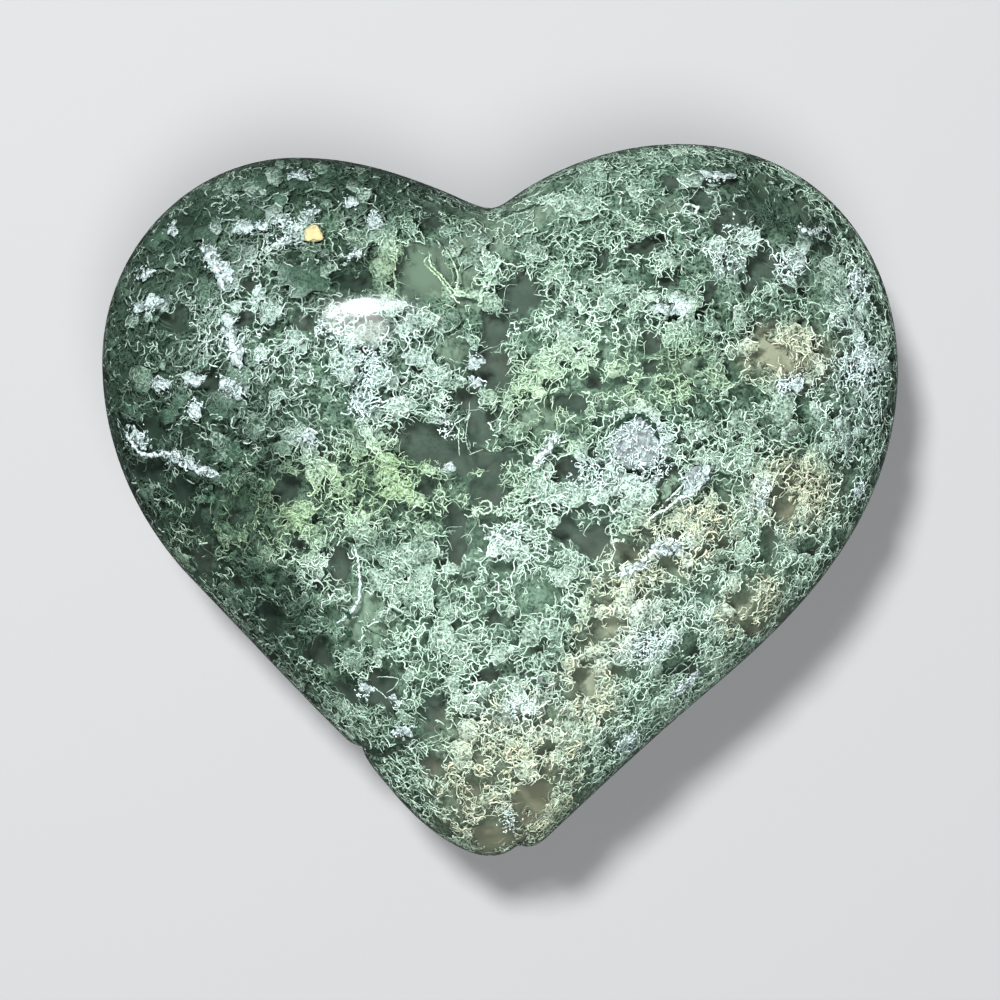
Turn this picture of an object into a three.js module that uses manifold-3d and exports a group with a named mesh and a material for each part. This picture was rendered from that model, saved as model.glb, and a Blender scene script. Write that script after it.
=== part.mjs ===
// A moss agate heart: one polished stone, domed on its face and on its back, lying on its back.
// Millimetres, +Z up. The origin is the middle of the box round the stone, on the surface that it rests on.
// +Y points to the notch between the lobes, -Y to the tip, and +X to the right lobe.
import * as THREE from "three";
import { mergeVertices } from "three/addons/utils/BufferGeometryUtils.js";
import Module from "manifold-3d";

// Driving sizes
const GIRDLE_HEIGHT = 12; // the stone's widest line, above the surface that it rests on
const FACE_RISE = 15; // the top of the face, above the widest line
const BACK_DEPTH = 12.5; // the back's full curve, of which the resting face cuts off the last half millimetre
const FULLNESS = 2.2; // of the superellipse in a cut through the stone: 2 is an ellipse, more is a fuller edge
const TOP = new THREE.Vector2(0, 4); // where the face is highest, seen from above
const VALLEY_SOFTENING = THREE.MathUtils.degToRad(95); // how wide an arc of the outline the innermost rings follow

// Fineness of the facets
const COARSE_STEP = THREE.MathUtils.degToRad(2);
const FINE_STEP = THREE.MathUtils.degToRad(0.75);
const FINE_REACH = THREE.MathUtils.degToRad(3.4); // either side of the nick and of the cleft
const FACE_RINGS = 13;
const BACK_RINGS = 9;
const OUTLINE_STEPS = 24; // points on each curve of the outline
const ARC_SAMPLES = 24; // points in the mean of an arc

// The outline seen from above, anticlockwise from the notch: each row is one Bezier curve, its two handles and its end
const NOTCH = [-1.2, 27.9];
const NICK = [-13.1, -23.6];
const CLEFT = [1.7, -32.9];
const OUTLINE = [
  [-2.4, 28.0, -4.2, 29.1, -6.4, 29.9], // out of the notch on the left
  [-10.5, 31.5, -14.4, 32.7, -19.4, 32.7], // up to the left lobe's crown
  [-29.8, 32.7, -38.0, 23.8, -38.0, 13.2], // round the left lobe
  [-38.0, 4.6, -34.2, -2.8, -29.0, -8.0], // under the lobe
  [-23.9, -13.3, -19.3, -18.3, -14.6, -22.9], // the long left flank
  [-14.0, -23.4, -13.5, -23.4, ...NICK], // into the nick
  [-13.1, -24.6, -11.8, -26.0, -10.3, -27.8], // out of the nick
  [-9.0, -29.4, -6.8, -31.6, -4.6, -32.8], // the short left flank
  [-3.4, -33.5, -2.2, -34.0, -1.0, -34.0], // down to the tip
  [0.1, -34.0, 1.1, -33.6, ...CLEFT], // up into the cleft beside the tip
  [2.5, -33.3, 3.4, -33.2, 4.4, -32.3], // round the small bulge beside it
  [9.0, -28.0, 13.5, -23.7, 19.0, -19.0], // the long right flank
  [27.5, -11.9, 38.0, -2.4, 38.0, 12.4], // under the right lobe
  [38.0, 24.3, 30.2, 34.0, 17.2, 34.0], // round the right lobe
  [10.4, 34.0, 4.6, 31.4, 0.8, 28.6], // down from its crown
  [0.1, 28.1, -0.5, 27.8, ...NOTCH], // back into the notch
];

// Two natural crevices that run in from the edge: points seen from above, and how far the middle of the round
// groove lies above the surface at its outer and at its inner end
const NICK_CREVICE = {
  route: [
    [-13.9, -24.1],
    [-12.9, -23.9],
    [-11.9, -24.2],
    [-10.9, -24.1],
    [-10.0, -23.6],
    [-8.9, -23.5],
  ],
  radius: 0.42,
  lift: [-0.05, 0.5],
};
const CLEFT_CREVICE = {
  route: [
    [1.5, -33.6],
    [1.9, -32.6],
    [2.5, -31.7],
    [2.5, -30.9],
    [2.0, -30.3],
  ],
  radius: 0.4,
  lift: [0.0, 0.45],
};
const CREVICE_SIDES = 8;
const CREVICE_STEPS = 12;
const EDGE_SHARE = 0.995; // a crevice's outer end lies on this ring, at most

const stoneMaterial = new THREE.MeshStandardMaterial({
  color: 0x8fae98,
  roughness: 0.12,
  metalness: 0,
});

// The outline as points with their direction and distance from the highest point, in the order of their direction.
function outlineFromTop() {
  const shape = new THREE.Shape();
  shape.moveTo(...NOTCH);
  OUTLINE.forEach((curve) => shape.bezierCurveTo(...curve));
  return shape
    .getPoints(OUTLINE_STEPS)
    .slice(1)
    .map((point) => point.clone().sub(TOP))
    .map((point) => ({ angle: point.angle(), distance: point.length() }))
    .sort((a, b) => a.angle - b.angle);
}

const outline = outlineFromTop();

// How far the outline is from the highest point in one direction.
function outlineDistance(angle) {
  const turned = THREE.MathUtils.euclideanModulo(angle, 2 * Math.PI);
  const found = outline.findIndex((point) => point.angle > turned);
  const next = outline[found < 0 ? 0 : found];
  const last = outline.at(found < 1 ? -1 : found - 1);
  const span = THREE.MathUtils.euclideanModulo(next.angle - last.angle, 2 * Math.PI);
  const part = THREE.MathUtils.euclideanModulo(turned - last.angle, 2 * Math.PI);
  return THREE.MathUtils.lerp(last.distance, next.distance, part / span);
}

// A ring's distance from the highest point: share 1 is the outline itself, and rings further in follow the mean of
// a wider arc of it, which rounds off the nick and opens the notch into a soft valley.
function ringDistance(angle, share) {
  const arc = (1 - share) * VALLEY_SOFTENING;
  let sum = 0;
  for (let i = 0; i < ARC_SAMPLES; i += 1) {
    sum += outlineDistance(angle + arc * ((i + 0.5) / ARC_SAMPLES - 0.5));
  }
  return (share * sum) / ARC_SAMPLES;
}

// The height of the face's ring of this share.
function faceHeight(share) {
  return GIRDLE_HEIGHT + FACE_RISE * (1 - share ** FULLNESS) ** (1 / FULLNESS);
}

// The rings' shares and heights from the top of the face to the rim of the resting face, evenly spread along
// the curve of a cut through the stone.
function profile() {
  const rows = [];
  for (let i = 1; i <= FACE_RINGS; i += 1) {
    const turn = (Math.PI / 2) * (i / FACE_RINGS);
    const share = Math.sin(turn) ** (2 / FULLNESS);
    rows.push({ share, height: faceHeight(Math.min(share, 1)) });
  }
  const cut = Math.asin((GIRDLE_HEIGHT / BACK_DEPTH) ** (FULLNESS / 2));
  for (let i = 1; i <= BACK_RINGS; i += 1) {
    const turn = cut * (i / BACK_RINGS);
    const share = Math.cos(turn) ** (2 / FULLNESS);
    const height = GIRDLE_HEIGHT - BACK_DEPTH * Math.sin(turn) ** (2 / FULLNESS);
    rows.push({ share, height: i === BACK_RINGS ? 0 : height });
  }
  return rows;
}

// The directions of the facets' edges, closer together near the nick and the cleft.
function directions() {
  const details = [NICK, CLEFT].map(([x, y]) => new THREE.Vector2(x, y).sub(TOP).angle());
  const angles = [];
  let angle = 0;
  while (angle < 2 * Math.PI - FINE_STEP) {
    angles.push(angle);
    const near = details.some((detail) => Math.abs(angle - detail) < FINE_REACH);
    angle += near ? FINE_STEP : COARSE_STEP;
  }
  return angles;
}

// The closed stone: a point at the top of the face, the rings, and a flat face to rest on.
function stoneGeometry() {
  const angles = directions();
  const rows = profile();
  const around = angles.length;
  const positions = [TOP.x, TOP.y, GIRDLE_HEIGHT + FACE_RISE];
  rows.forEach(({ share, height }) => {
    angles.forEach((angle) => {
      const distance = ringDistance(angle, share);
      positions.push(TOP.x + distance * Math.cos(angle), TOP.y + distance * Math.sin(angle), height);
    });
  });
  positions.push(0, 0, 0);

  const faces = [];
  const at = (row, column) => 1 + row * around + (column % around);
  const base = positions.length / 3 - 1;
  for (let column = 0; column < around; column += 1) {
    faces.push(0, at(0, column), at(0, column + 1));
    for (let row = 0; row < rows.length - 1; row += 1) {
      faces.push(at(row, column), at(row + 1, column), at(row + 1, column + 1));
      faces.push(at(row, column), at(row + 1, column + 1), at(row, column + 1));
    }
    faces.push(at(rows.length - 1, column), base, at(rows.length - 1, column + 1));
  }
  const geometry = new THREE.BufferGeometry();
  geometry.setAttribute("position", new THREE.Float32BufferAttribute(positions, 3));
  geometry.setIndex(faces);
  return geometry;
}

// The height of the face over a point seen from above: the ring that passes over it is found by halving.
function heightOver(x, y) {
  const point = new THREE.Vector2(x, y).sub(TOP);
  let inner = 0;
  let outer = EDGE_SHARE;
  for (let i = 0; i < 30; i += 1) {
    const share = (inner + outer) / 2;
    if (ringDistance(point.angle(), share) < point.length()) inner = share;
    else outer = share;
  }
  return faceHeight(outer);
}

// A round groove along a crevice, to be cut out of the stone. It comes out of the surface towards its inner end.
function creviceGeometry({ route, radius, lift }) {
  const points = route.map(([x, y], i) => {
    const above = THREE.MathUtils.lerp(...lift, i / (route.length - 1));
    return new THREE.Vector3(x, y, heightOver(x, y) + above);
  });
  const section = new THREE.Shape();
  for (let i = 0; i < CREVICE_SIDES; i += 1) {
    const turn = (2 * Math.PI * i) / CREVICE_SIDES;
    const [x, y] = [radius * Math.cos(turn), radius * Math.sin(turn)];
    if (i === 0) section.moveTo(x, y);
    else section.lineTo(x, y);
  }
  section.closePath();
  const extrudePath = new THREE.CatmullRomCurve3(points);
  return new THREE.ExtrudeGeometry(section, { steps: CREVICE_STEPS, extrudePath });
}

const wasm = await Module();
wasm.setup();

function toSolid(geometry) {
  const bare = geometry.clone();
  bare.deleteAttribute("normal");
  bare.deleteAttribute("uv");
  const merged = mergeVertices(bare, 1e-4);
  return new wasm.Manifold(
    new wasm.Mesh({
      numProp: 3,
      vertProperties: merged.attributes.position.array,
      triVerts: new Uint32Array(merged.index.array),
    }),
  );
}

function toGeometry(solid) {
  const mesh = solid.getMesh();
  const geometry = new THREE.BufferGeometry();
  geometry.setAttribute("position", new THREE.BufferAttribute(mesh.vertProperties, 3));
  geometry.setIndex(new THREE.BufferAttribute(mesh.triVerts, 1));
  geometry.computeVertexNormals();
  return geometry;
}

function makeHeart() {
  const crevices = [NICK_CREVICE, CLEFT_CREVICE].map(creviceGeometry);
  const solid = crevices.reduce((stone, crevice) => stone.subtract(toSolid(crevice)), toSolid(stoneGeometry()));
  const heart = new THREE.Mesh(toGeometry(solid), stoneMaterial);
  heart.name = "agate_heart";
  return heart;
}

const mossAgateHeart = new THREE.Group();
mossAgateHeart.add(makeHeart());

export default mossAgateHeart;
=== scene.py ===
"""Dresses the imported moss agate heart: clear polished stone over moss, frost and cloudy depths."""

import math
from typing import NamedTuple

import bmesh
import bpy
import numpy as np
from mathutils import Matrix, Vector, geometry, noise
from mathutils.bvhtree import BVHTree


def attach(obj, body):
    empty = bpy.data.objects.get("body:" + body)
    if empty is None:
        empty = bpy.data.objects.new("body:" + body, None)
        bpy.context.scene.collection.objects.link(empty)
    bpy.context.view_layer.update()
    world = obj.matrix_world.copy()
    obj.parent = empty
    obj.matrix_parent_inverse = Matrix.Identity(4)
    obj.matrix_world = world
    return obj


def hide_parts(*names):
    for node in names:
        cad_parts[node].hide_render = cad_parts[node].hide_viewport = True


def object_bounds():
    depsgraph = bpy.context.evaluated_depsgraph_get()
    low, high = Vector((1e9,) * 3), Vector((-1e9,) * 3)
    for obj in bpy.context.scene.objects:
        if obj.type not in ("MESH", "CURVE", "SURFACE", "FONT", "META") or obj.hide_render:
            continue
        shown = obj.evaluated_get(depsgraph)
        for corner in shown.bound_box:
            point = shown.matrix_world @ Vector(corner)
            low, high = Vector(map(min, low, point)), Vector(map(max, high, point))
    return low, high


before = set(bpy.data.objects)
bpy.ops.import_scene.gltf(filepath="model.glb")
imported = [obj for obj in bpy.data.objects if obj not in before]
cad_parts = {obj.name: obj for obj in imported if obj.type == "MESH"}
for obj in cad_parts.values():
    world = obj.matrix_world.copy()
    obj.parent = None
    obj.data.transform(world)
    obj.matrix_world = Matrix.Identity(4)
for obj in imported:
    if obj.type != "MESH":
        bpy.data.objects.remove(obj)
CAD_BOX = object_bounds()

bl_info = {
    "name": "Moss Agate Heart",
    "version": (1, 0, 0),
    "blender": (4, 5, 0),
    "location": "3D View > Sidebar > Agate",
    "description": "Builds a polished moss agate heart around its CAD solid",
    "category": "Object",
}

MM = 0.001
BODY = "root"
NODE = "agate_heart"
GIRDLE = 12 * MM
# Noise vectors start from the clock's time unless they get a seed.
NOISE_SEED = 5
noise.seed_set(NOISE_SEED)

# The outline of the stone in millimetres, anticlockwise from the notch: each row is one Bezier curve, its two
# handles and its end.
NOTCH = (-1.2, 27.9)
NICK = (-13.1, -23.6)
CLEFT = (1.7, -32.9)
OUTLINE = (
    (-2.4, 28.0, -4.2, 29.1, -6.4, 29.9),
    (-10.5, 31.5, -14.4, 32.7, -19.4, 32.7),
    (-29.8, 32.7, -38.0, 23.8, -38.0, 13.2),
    (-38.0, 4.6, -34.2, -2.8, -29.0, -8.0),
    (-23.9, -13.3, -19.3, -18.3, -14.6, -22.9),
    (-14.0, -23.4, -13.5, -23.4, *NICK),
    (-13.1, -24.6, -11.8, -26.0, -10.3, -27.8),
    (-9.0, -29.4, -6.8, -31.6, -4.6, -32.8),
    (-3.4, -33.5, -2.2, -34.0, -1.0, -34.0),
    (0.1, -34.0, 1.1, -33.6, *CLEFT),
    (2.5, -33.3, 3.4, -33.2, 4.4, -32.3),
    (9.0, -28.0, 13.5, -23.7, 19.0, -19.0),
    (27.5, -11.9, 38.0, -2.4, 38.0, 12.4),
    (38.0, 24.3, 30.2, 34.0, 17.2, 34.0),
    (10.4, 34.0, 4.6, 31.4, 0.8, 28.6),
    (0.1, 28.1, -0.5, 27.8, *NOTCH),
)
TOP = (0.0, 4.0)
CURVE_POINTS = 24
# Directions that the outline is known in, round one turn, and the least arc of it that a ring follows.
TURN_STEPS = 3600
SMALLEST_ARC = math.radians(0.2)

# Places on the face are given in millimetres where the camera sees them against the widest line's level, from
# this height above it.
VIEW_HEIGHT = 320.0

# Two natural crevices that run in from the edge: radius, how far the middle of the groove lies above the
# surface at its outer and at its inner end, and its way seen from straight above.
CREVICES = (
    (
        0.42,
        -0.05,
        0.5,
        ((-13.9, -24.1), (-12.9, -23.9), (-11.9, -24.2), (-10.9, -24.1), (-10.0, -23.6), (-8.9, -23.5)),
    ),
    (0.4, 0.0, 0.45, ((1.5, -33.6), (1.9, -32.6), (2.5, -31.7), (2.5, -30.9), (2.0, -30.3))),
)
# A crevice comes out of the edge no lower than this.
EDGE_HEIGHT = 13.93

# Zones of the face: middle, half length, half width, and the turn of the length from +X in degrees. First the
# windows, where there is no moss.
WINDOWS = (
    (-11.6, -24.2, 2.7, 0.5, 8),
    (2.2, -32.0, 0.45, 1.8, 0),
    (-7.2, 5.6, 3.1, 1.9, -12),
    (-4.0, 4.3, 1.9, 1.2, -60),
    (-1.9, 6.8, 1.2, 1.6, 0),
    (-2.1, 4.0, 1.5, 1.0, 0),
    (0.7, 4.2, 1.3, 0.9, -20),
    (-0.9, 3.1, 1.0, 1.1, 0),
    (-1.1, 0.9, 1.6, 1.6, 0),
    (-4.3, -1.7, 1.1, 1.3, 0),
    (-4.3, -4.5, 0.9, 1.7, 0),
    (-7.6, 21.6, 2.4, 1.9, -5),
    (-5.6, 22.4, 0.8, 1.8, 10),
    (-4.3, 27.9, 2.6, 0.6, -12),
    (-6.7, 26.4, 1.3, 0.9, 0),
    (2.1, 19.8, 1.7, 2.1, 0),
    (-0.2, 16.4, 1.4, 2.2, -15),
    (-0.9, 12.2, 2.1, 2.1, 0),
    (-2.9, 9.4, 1.0, 1.2, 40),
    (-13.9, 20.9, 1.7, 1.0, -10),
    (-18.4, 17.0, 1.0, 1.1, 0),
    (-26.0, 20.7, 0.9, 0.7, 0),
    (-23.7, 20.6, 0.8, 0.5, 0),
    (-24.2, 17.5, 0.8, 0.9, 0),
    (-31.1, 17.1, 1.4, 1.4, 0),
    (-29.7, 26.4, 0.9, 0.7, 0),
    (-27.8, 12.0, 0.9, 1.4, 0),
    (-33.5, 6.8, 1.7, 1.0, 0),
    (-29.7, 5.6, 0.9, 0.9, 0),
    (-33.5, 2.9, 1.9, 1.1, 0),
    (-30.6, 1.0, 1.2, 1.5, 0),
    (-28.7, -2.3, 1.1, 1.3, 0),
    (-28.0, -4.7, 1.0, 1.1, 0),
    (-21.5, 4.9, 0.4, 1.0, 10),
    (-22.0, 3.1, 0.7, 0.7, 0),
    (-20.1, 1.3, 1.0, 1.6, -20),
    (-24.9, -1.2, 1.0, 0.6, 0),
    (-19.6, -4.2, 0.8, 0.6, 0),
    (-15.3, -6.4, 1.0, 2.1, 15),
    (-17.6, -7.1, 0.7, 0.7, 0),
    (-28.2, -6.6, 0.9, 0.6, 30),
    (-25.4, -7.6, 0.9, 0.8, 0),
    (-22.0, -11.4, 1.2, 1.5, 0),
    (-17.2, -14.3, 1.1, 1.6, 0),
    (-14.8, -18.1, 1.4, 1.2, 0),
    (-11.1, -18.0, 1.9, 2.0, 0),
    (-10.8, -20.2, 0.9, 0.5, 0),
    (-6.1, -19.9, 1.2, 1.8, 0),
    (-8.1, -22.4, 1.2, 0.7, 0),
    (-6.5, -25.2, 1.0, 1.0, 0),
    (-2.6, -27.9, 0.6, 1.0, 0),
    (3.1, -28.5, 1.8, 1.8, 0),
    (4.3, -24.3, 0.7, 1.0, 20),
    (-0.8, -32.2, 2.2, 1.5, 0),
    (-7.2, 1.0, 0.8, 0.9, 0),
    (-0.7, -11.4, 0.5, 0.9, -35),
    (-1.4, -17.0, 0.8, 0.8, 0),
    (6.5, 3.0, 1.3, 1.0, -20),
    (6.4, -3.0, 1.2, 1.2, 0),
    (9.3, -3.8, 1.9, 1.6, 0),
    (6.5, 9.3, 1.7, 0.7, 0),
    (13.5, 24.3, 2.1, 0.9, 5),
    (10.0, 22.9, 0.5, 0.9, 20),
    (14.9, 27.6, 0.6, 0.6, 0),
    (16.2, 29.7, 0.8, 0.6, 0),
    (19.3, 28.6, 1.3, 1.1, -30),
    (21.3, 26.4, 1.1, 0.9, 0),
    (23.4, 26.8, 0.8, 1.0, 0),
    (21.8, 30.1, 1.1, 0.5, -10),
    (25.0, 28.8, 0.8, 0.5, 0),
    (31.3, 24.0, 1.1, 0.9, 0),
    (24.9, 22.3, 1.6, 1.3, -15),
    (28.0, 20.4, 1.2, 0.6, 0),
    (23.9, 20.1, 0.8, 0.6, 0),
    (19.9, 19.9, 0.8, 1.2, 0),
    (18.2, 18.7, 0.8, 0.6, -40),
    (15.8, 20.8, 0.8, 0.8, 0),
    (25.4, 16.4, 1.2, 0.6, 0),
    (14.4, 14.9, 1.2, 1.0, 0),
    (14.8, 12.5, 1.4, 0.5, 0),
    (9.1, 11.0, 0.9, 0.5, -40),
    (15.9, 1.9, 0.9, 1.6, -20),
    (27.5, -0.7, 1.1, 1.0, 0),
    (25.9, -4.3, 1.0, 1.7, -5),
    (21.5, -4.2, 0.9, 0.7, 0),
    (21.2, -5.7, 0.8, 0.5, 0),
    (29.9, -4.8, 0.9, 0.8, 0),
    (23.9, -12.4, 0.8, 0.7, 0),
    (17.2, -16.0, 1.5, 0.7, 10),
    (12.2, -5.0, 1.0, 0.9, 30),
    (18.5, -14.4, 0.7, 0.8, 0),
)
# Smooth pale patches.
MISTS = (
    (1.2, 26.0, 3.8, 1.4, 20),
    (3.6, 27.2, 2.6, 1.6, 25),
    (-1.5, 24.3, 3.4, 2.8, 30),
    (-3.2, 20.8, 1.9, 3.0, 0),
    (-7.0, 21.6, 4.2, 2.4, -8),
    (-12.3, -11.2, 2.8, 3.0, 0),
    (-4.4, 14.2, 1.9, 1.5, 0),
    (16.0, 27.6, 1.9, 1.0, 0),
    (26.5, 13.6, 3.4, 2.2, -10),
    (18.0, 12.8, 1.9, 0.7, 8),
    (11.1, -10.8, 1.6, 2.6, -10),
    (23.4, -10.4, 2.2, 0.9, 45),
    (8.8, -17.6, 0.8, 2.0, 0),
    (15.4, 1.0, 2.2, 1.6, 50),
    (3.9, -28.4, 2.2, 1.2, 0),
    (3.6, 7.9, 1.7, 1.7, 0),
    (5.3, -13.8, 1.0, 0.7, 0),
    (24.9, 29.6, 1.4, 1.2, 0),
    (28.9, 27.9, 1.4, 1.4, 0),
    (27.5, -0.7, 0.9, 0.8, 0),
    (25.9, -4.3, 1.1, 2.0, -5),
    (-0.8, -31.9, 1.7, 1.7, 0),
)
# Parts of the face where the moss is tan.
TANS = (
    (1.5, -23.5, 6.2, 5.0, 0),
    (11.6, -10.2, 3.6, 6.0, -20),
    (17.6, -3.6, 5.0, 3.6, 30),
    (23.8, -10.0, 3.6, 2.4, 45),
    (8.5, -18.2, 3.0, 4.0, 0),
    (27.5, 13.8, 4.4, 2.8, 0),
    (28.0, 0.6, 4.0, 3.4, 0),
    (0.5, -27.5, 6.5, 6.5, 30),
)
# Strips of white crystals.
FROSTS = (
    (-31.4, 26.1, 1.0, 0.35, -50),
    (-27.0, 22.8, 2.4, 0.6, -55),
    (-25.8, 15.4, 2.5, 0.55, -70),
    (-25.8, 10.8, 1.2, 0.7, -35),
    (-19.2, 31.2, 0.8, 0.5, 0),
    (-19.8, 26.8, 1.2, 0.9, 0),
    (-20.6, 24.8, 1.4, 0.5, 10),
    (-16.4, 16.4, 1.3, 1.0, 0),
    (-13.9, 23.6, 0.8, 0.5, 0),
    (-33.8, 18.8, 1.5, 0.5, 15),
    (-32.6, 11.0, 1.2, 0.5, 15),
    (-29.4, 11.6, 1.0, 0.5, 0),
    (-34.0, 21.6, 0.8, 0.5, 0),
    (-29.4, 8.6, 0.6, 0.7, 0),
    (-24.7, 26.2, 0.8, 0.5, 0),
    (-22.8, 26.4, 0.6, 0.4, 0),
    (-18.2, 27.7, 0.8, 0.6, 0),
    (-14.4, 28.6, 0.8, 0.5, 20),
    (-12.0, 26.9, 0.7, 0.6, 0),
    (-34.8, 5.8, 1.2, 0.5, -45),
    (-31.0, 4.0, 2.0, 0.35, -10),
    (-28.6, 2.8, 1.6, 0.45, -15),
    (-18.3, 6.0, 0.9, 0.35, 0),
    (-5.2, 7.0, 0.7, 0.9, 0),
    (-4.9, 3.2, 0.6, 0.4, 0),
    (4.5, 5.0, 1.4, 0.45, 55),
    (0.3, -3.2, 1.8, 0.8, 0),
    (9.0, 2.4, 2.0, 1.3, 20),
    (14.2, 2.8, 2.0, 1.0, 0),
    (16.2, -4.6, 1.5, 0.7, 8),
    (22.4, 26.4, 0.4, 0.8, 10),
    (27.7, 22.1, 1.2, 1.0, 40),
    (22.0, 22.6, 1.4, 0.9, 0),
    (21.0, 31.2, 1.4, 0.6, 0),
    (16.4, 18.2, 1.2, 0.5, 0),
    (34.4, 20.6, 0.9, 0.9, 0),
    (30.1, 25.9, 1.0, 0.4, 0),
    (34.7, 12.7, 1.6, 1.6, 0),
    (28.2, 11.0, 1.1, 0.7, 0),
    (19.0, 1.9, 1.5, 0.6, 50),
    (13.0, -6.7, 1.3, 0.5, 15),
    (0.9, -31.0, 0.4, 0.9, 0),
    (25.2, 0.4, 0.7, 1.3, 0),
    (34.6, 0.8, 0.5, 0.7, 0),
    (14.2, -14.2, 2.5, 1.3, 10),
    (18.2, -17.6, 1.5, 0.4, 50),
    (12.4, -23.2, 1.1, 0.7, 30),
    (1.9, -19.6, 1.4, 1.0, 0),
    (-9.4, -22.3, 0.8, 0.6, 0),
    (-10.1, -19.3, 0.65, 0.4, -10),
    (-13.1, -18.1, 0.7, 0.4, 0),
    (-12.0, 12.4, 1.4, 1.4, 0),
    (-13.0, 9.4, 1.4, 1.2, 0),
    (-2.2, 13.4, 0.5, 0.6, 0),
    (-2.3, 11.6, 0.5, 0.4, 0),
    (-13.4, 14.2, 1.6, 0.8, 0),
    (13.2, 5.3, 2.1, 2.1, 0),
)
# Parts of the face where the moss is bluish white, and where it is yellowish green.
COOLS = (
    (-12.0, 13.5, 6.5, 6.0, 10),
    (-24.0, 16.0, 9.0, 7.0, -60),
    (-33.0, 5.0, 4.0, 3.0, -30),
    (-27.0, 24.0, 8.0, 4.0, 40),
    (9.0, 1.5, 5.5, 3.0, 20),
    (2.0, -4.0, 5.0, 3.5, 0),
    (24.0, 25.5, 7.0, 4.0, -20),
    (15.0, -12.0, 6.0, 3.5, 30),
    (34.0, 12.0, 3.0, 9.0, 0),
    (2.0, -19.0, 5.0, 3.0, 0),
)
OLIVES = (
    (4.5, 9.5, 4.0, 4.5, 0),
    (-8.0, 21.5, 5.0, 2.5, -10),
    (-22.0, -1.0, 8.0, 4.0, 20),
    (13.0, 12.0, 8.0, 3.0, 0),
    (-1.5, 1.0, 3.0, 4.0, 0),
    (12.0, -11.0, 3.5, 5.0, -20),
    (-11.0, 2.0, 7.0, 4.0, 0),
)
# Parts of the face that are painted darker, and parts painted paler than elsewhere: partly darker and paler
# moss, and partly painted shade where the light falls off and painted light where it is strongest.
SHADES = (
    (-37.5, 9.0, 9.0, 21.0, 0),
    (-30.0, 25.0, 11.0, 6.0, 38),
    (-16.0, 30.5, 13.0, 4.0, -5),
    (-29.0, 3.0, 9.0, 10.0, -40),
    (-16.0, 22.0, 6.0, 3.0, 0),
    (-21.0, -11.0, 4.0, 10.0, 42),
    (26.0, 28.0, 7.0, 2.5, -35),
)
GLOWS = (
    (5.5, -4.0, 9.0, 9.0, 0),
    (8.0, 13.0, 7.0, 6.0, 0),
    (19.0, -8.0, 12.0, 8.0, 42),
    (-8.0, -12.0, 8.0, 8.0, -30),
    (2.0, -23.0, 9.0, 8.0, 0),
    (15.0, -16.0, 11.0, 7.0, 42),
)
# How far a zone fades at its edge, as a share of its size, and the noise that makes its edge ragged: how far
# it shifts a point and how coarse it is.
SOFT_EDGE = 0.35
WOBBLES = ((0.7, 2.6), (0.42, 0.9), (0.22, 0.42))

# The cloudy depths: how far they lie under the surface and at the widest line, how much deeper a window is
# and how much higher the mist is, and how far above the widest line both have their full effect.
CLOUD_INSET = 2.6 * MM
CLOUD_RIM_INSET = 1.1 * MM
WINDOW_DEPTH = 1.2 * MM
MIST_RISE = 0.4 * MM
FULL_EFFECT = 5 * MM

# Millimetres above and below the widest line where the face and the back have their matter in full.
FACE_IN_FULL = 1.5
BACK_IN_FULL = 5
# The back's windows: how coarse their noise is, where one begins, and how wide its edge is.
BACK_WINDOWS = (3.1, 0.24, 0.12)

# Values that moss takes over from the skin: its own name for each, and the skin's.
FACTS = {"warm": "tan", "light": "light", "cool": "cool", "olive": "olive"}
# How deep the middle of a strand or a vein lies at least, in its own radii.
STRAND_COVER = 1.6
VEIN_COVER = 1.3
# Rays are cast straight down at the stone from this height.
OVERHEAD = 100 * MM

# The nets of joined strands: name, seed, and the depth of the shallowest and of the deepest joint in
# millimetres.
NETS = (("net_upper", 21, 0.25, 1.1), ("net_lower", 22, 0.8, 1.9))
# How high the nets begin, the places along a wall, how it bends there and how far it strays up or down, the
# longest wall, the least moss where there is one, the share of walls that are kept, the noise that leaves a
# cell open, and how far a film reaches from its middle, how far it sags there and how thick it is.
NET_HEIGHT = 12.4 * MM
WALL_BENDS = ((0, 0), (0.34, 0.2), (0.67, -0.2), (1, 0))
WALL_STRAY = 0.16 * MM
LONGEST_WALL = 4 * MM
LEAST_MOSS = 0.15
WALL_SHARE = 0.85
FILM_NOISE = 0.06
WIDEST_FILM = 2.2 * MM
FILM_SAG = 0.22 * MM
FILM_THICKNESS = 0.05 * MM
# How far a strand rises and sinks on its way.
RIPPLE = 0.8 * MM
# The depth that counts as 1 for the colour of moss.
DEEPEST = 4 * MM
# What a tree stores for its own use, and a finished piece doesn't keep.
SPENT = {"start", "strand", "stage", "here", "level", "radius"}
# Strips of frost narrower than this have a white flake in them.
WIDEST_FLAKE = 0.75
# Where the camera sees the lamp's mirror image.
GLINT = (-11.8, 18.7)


class Vein(NamedTuple):
    """A vein that stands out in the moss: its matter, and its radius, depth and way in millimetres."""

    matter: str
    radius: float
    depth: float
    way: tuple


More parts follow.
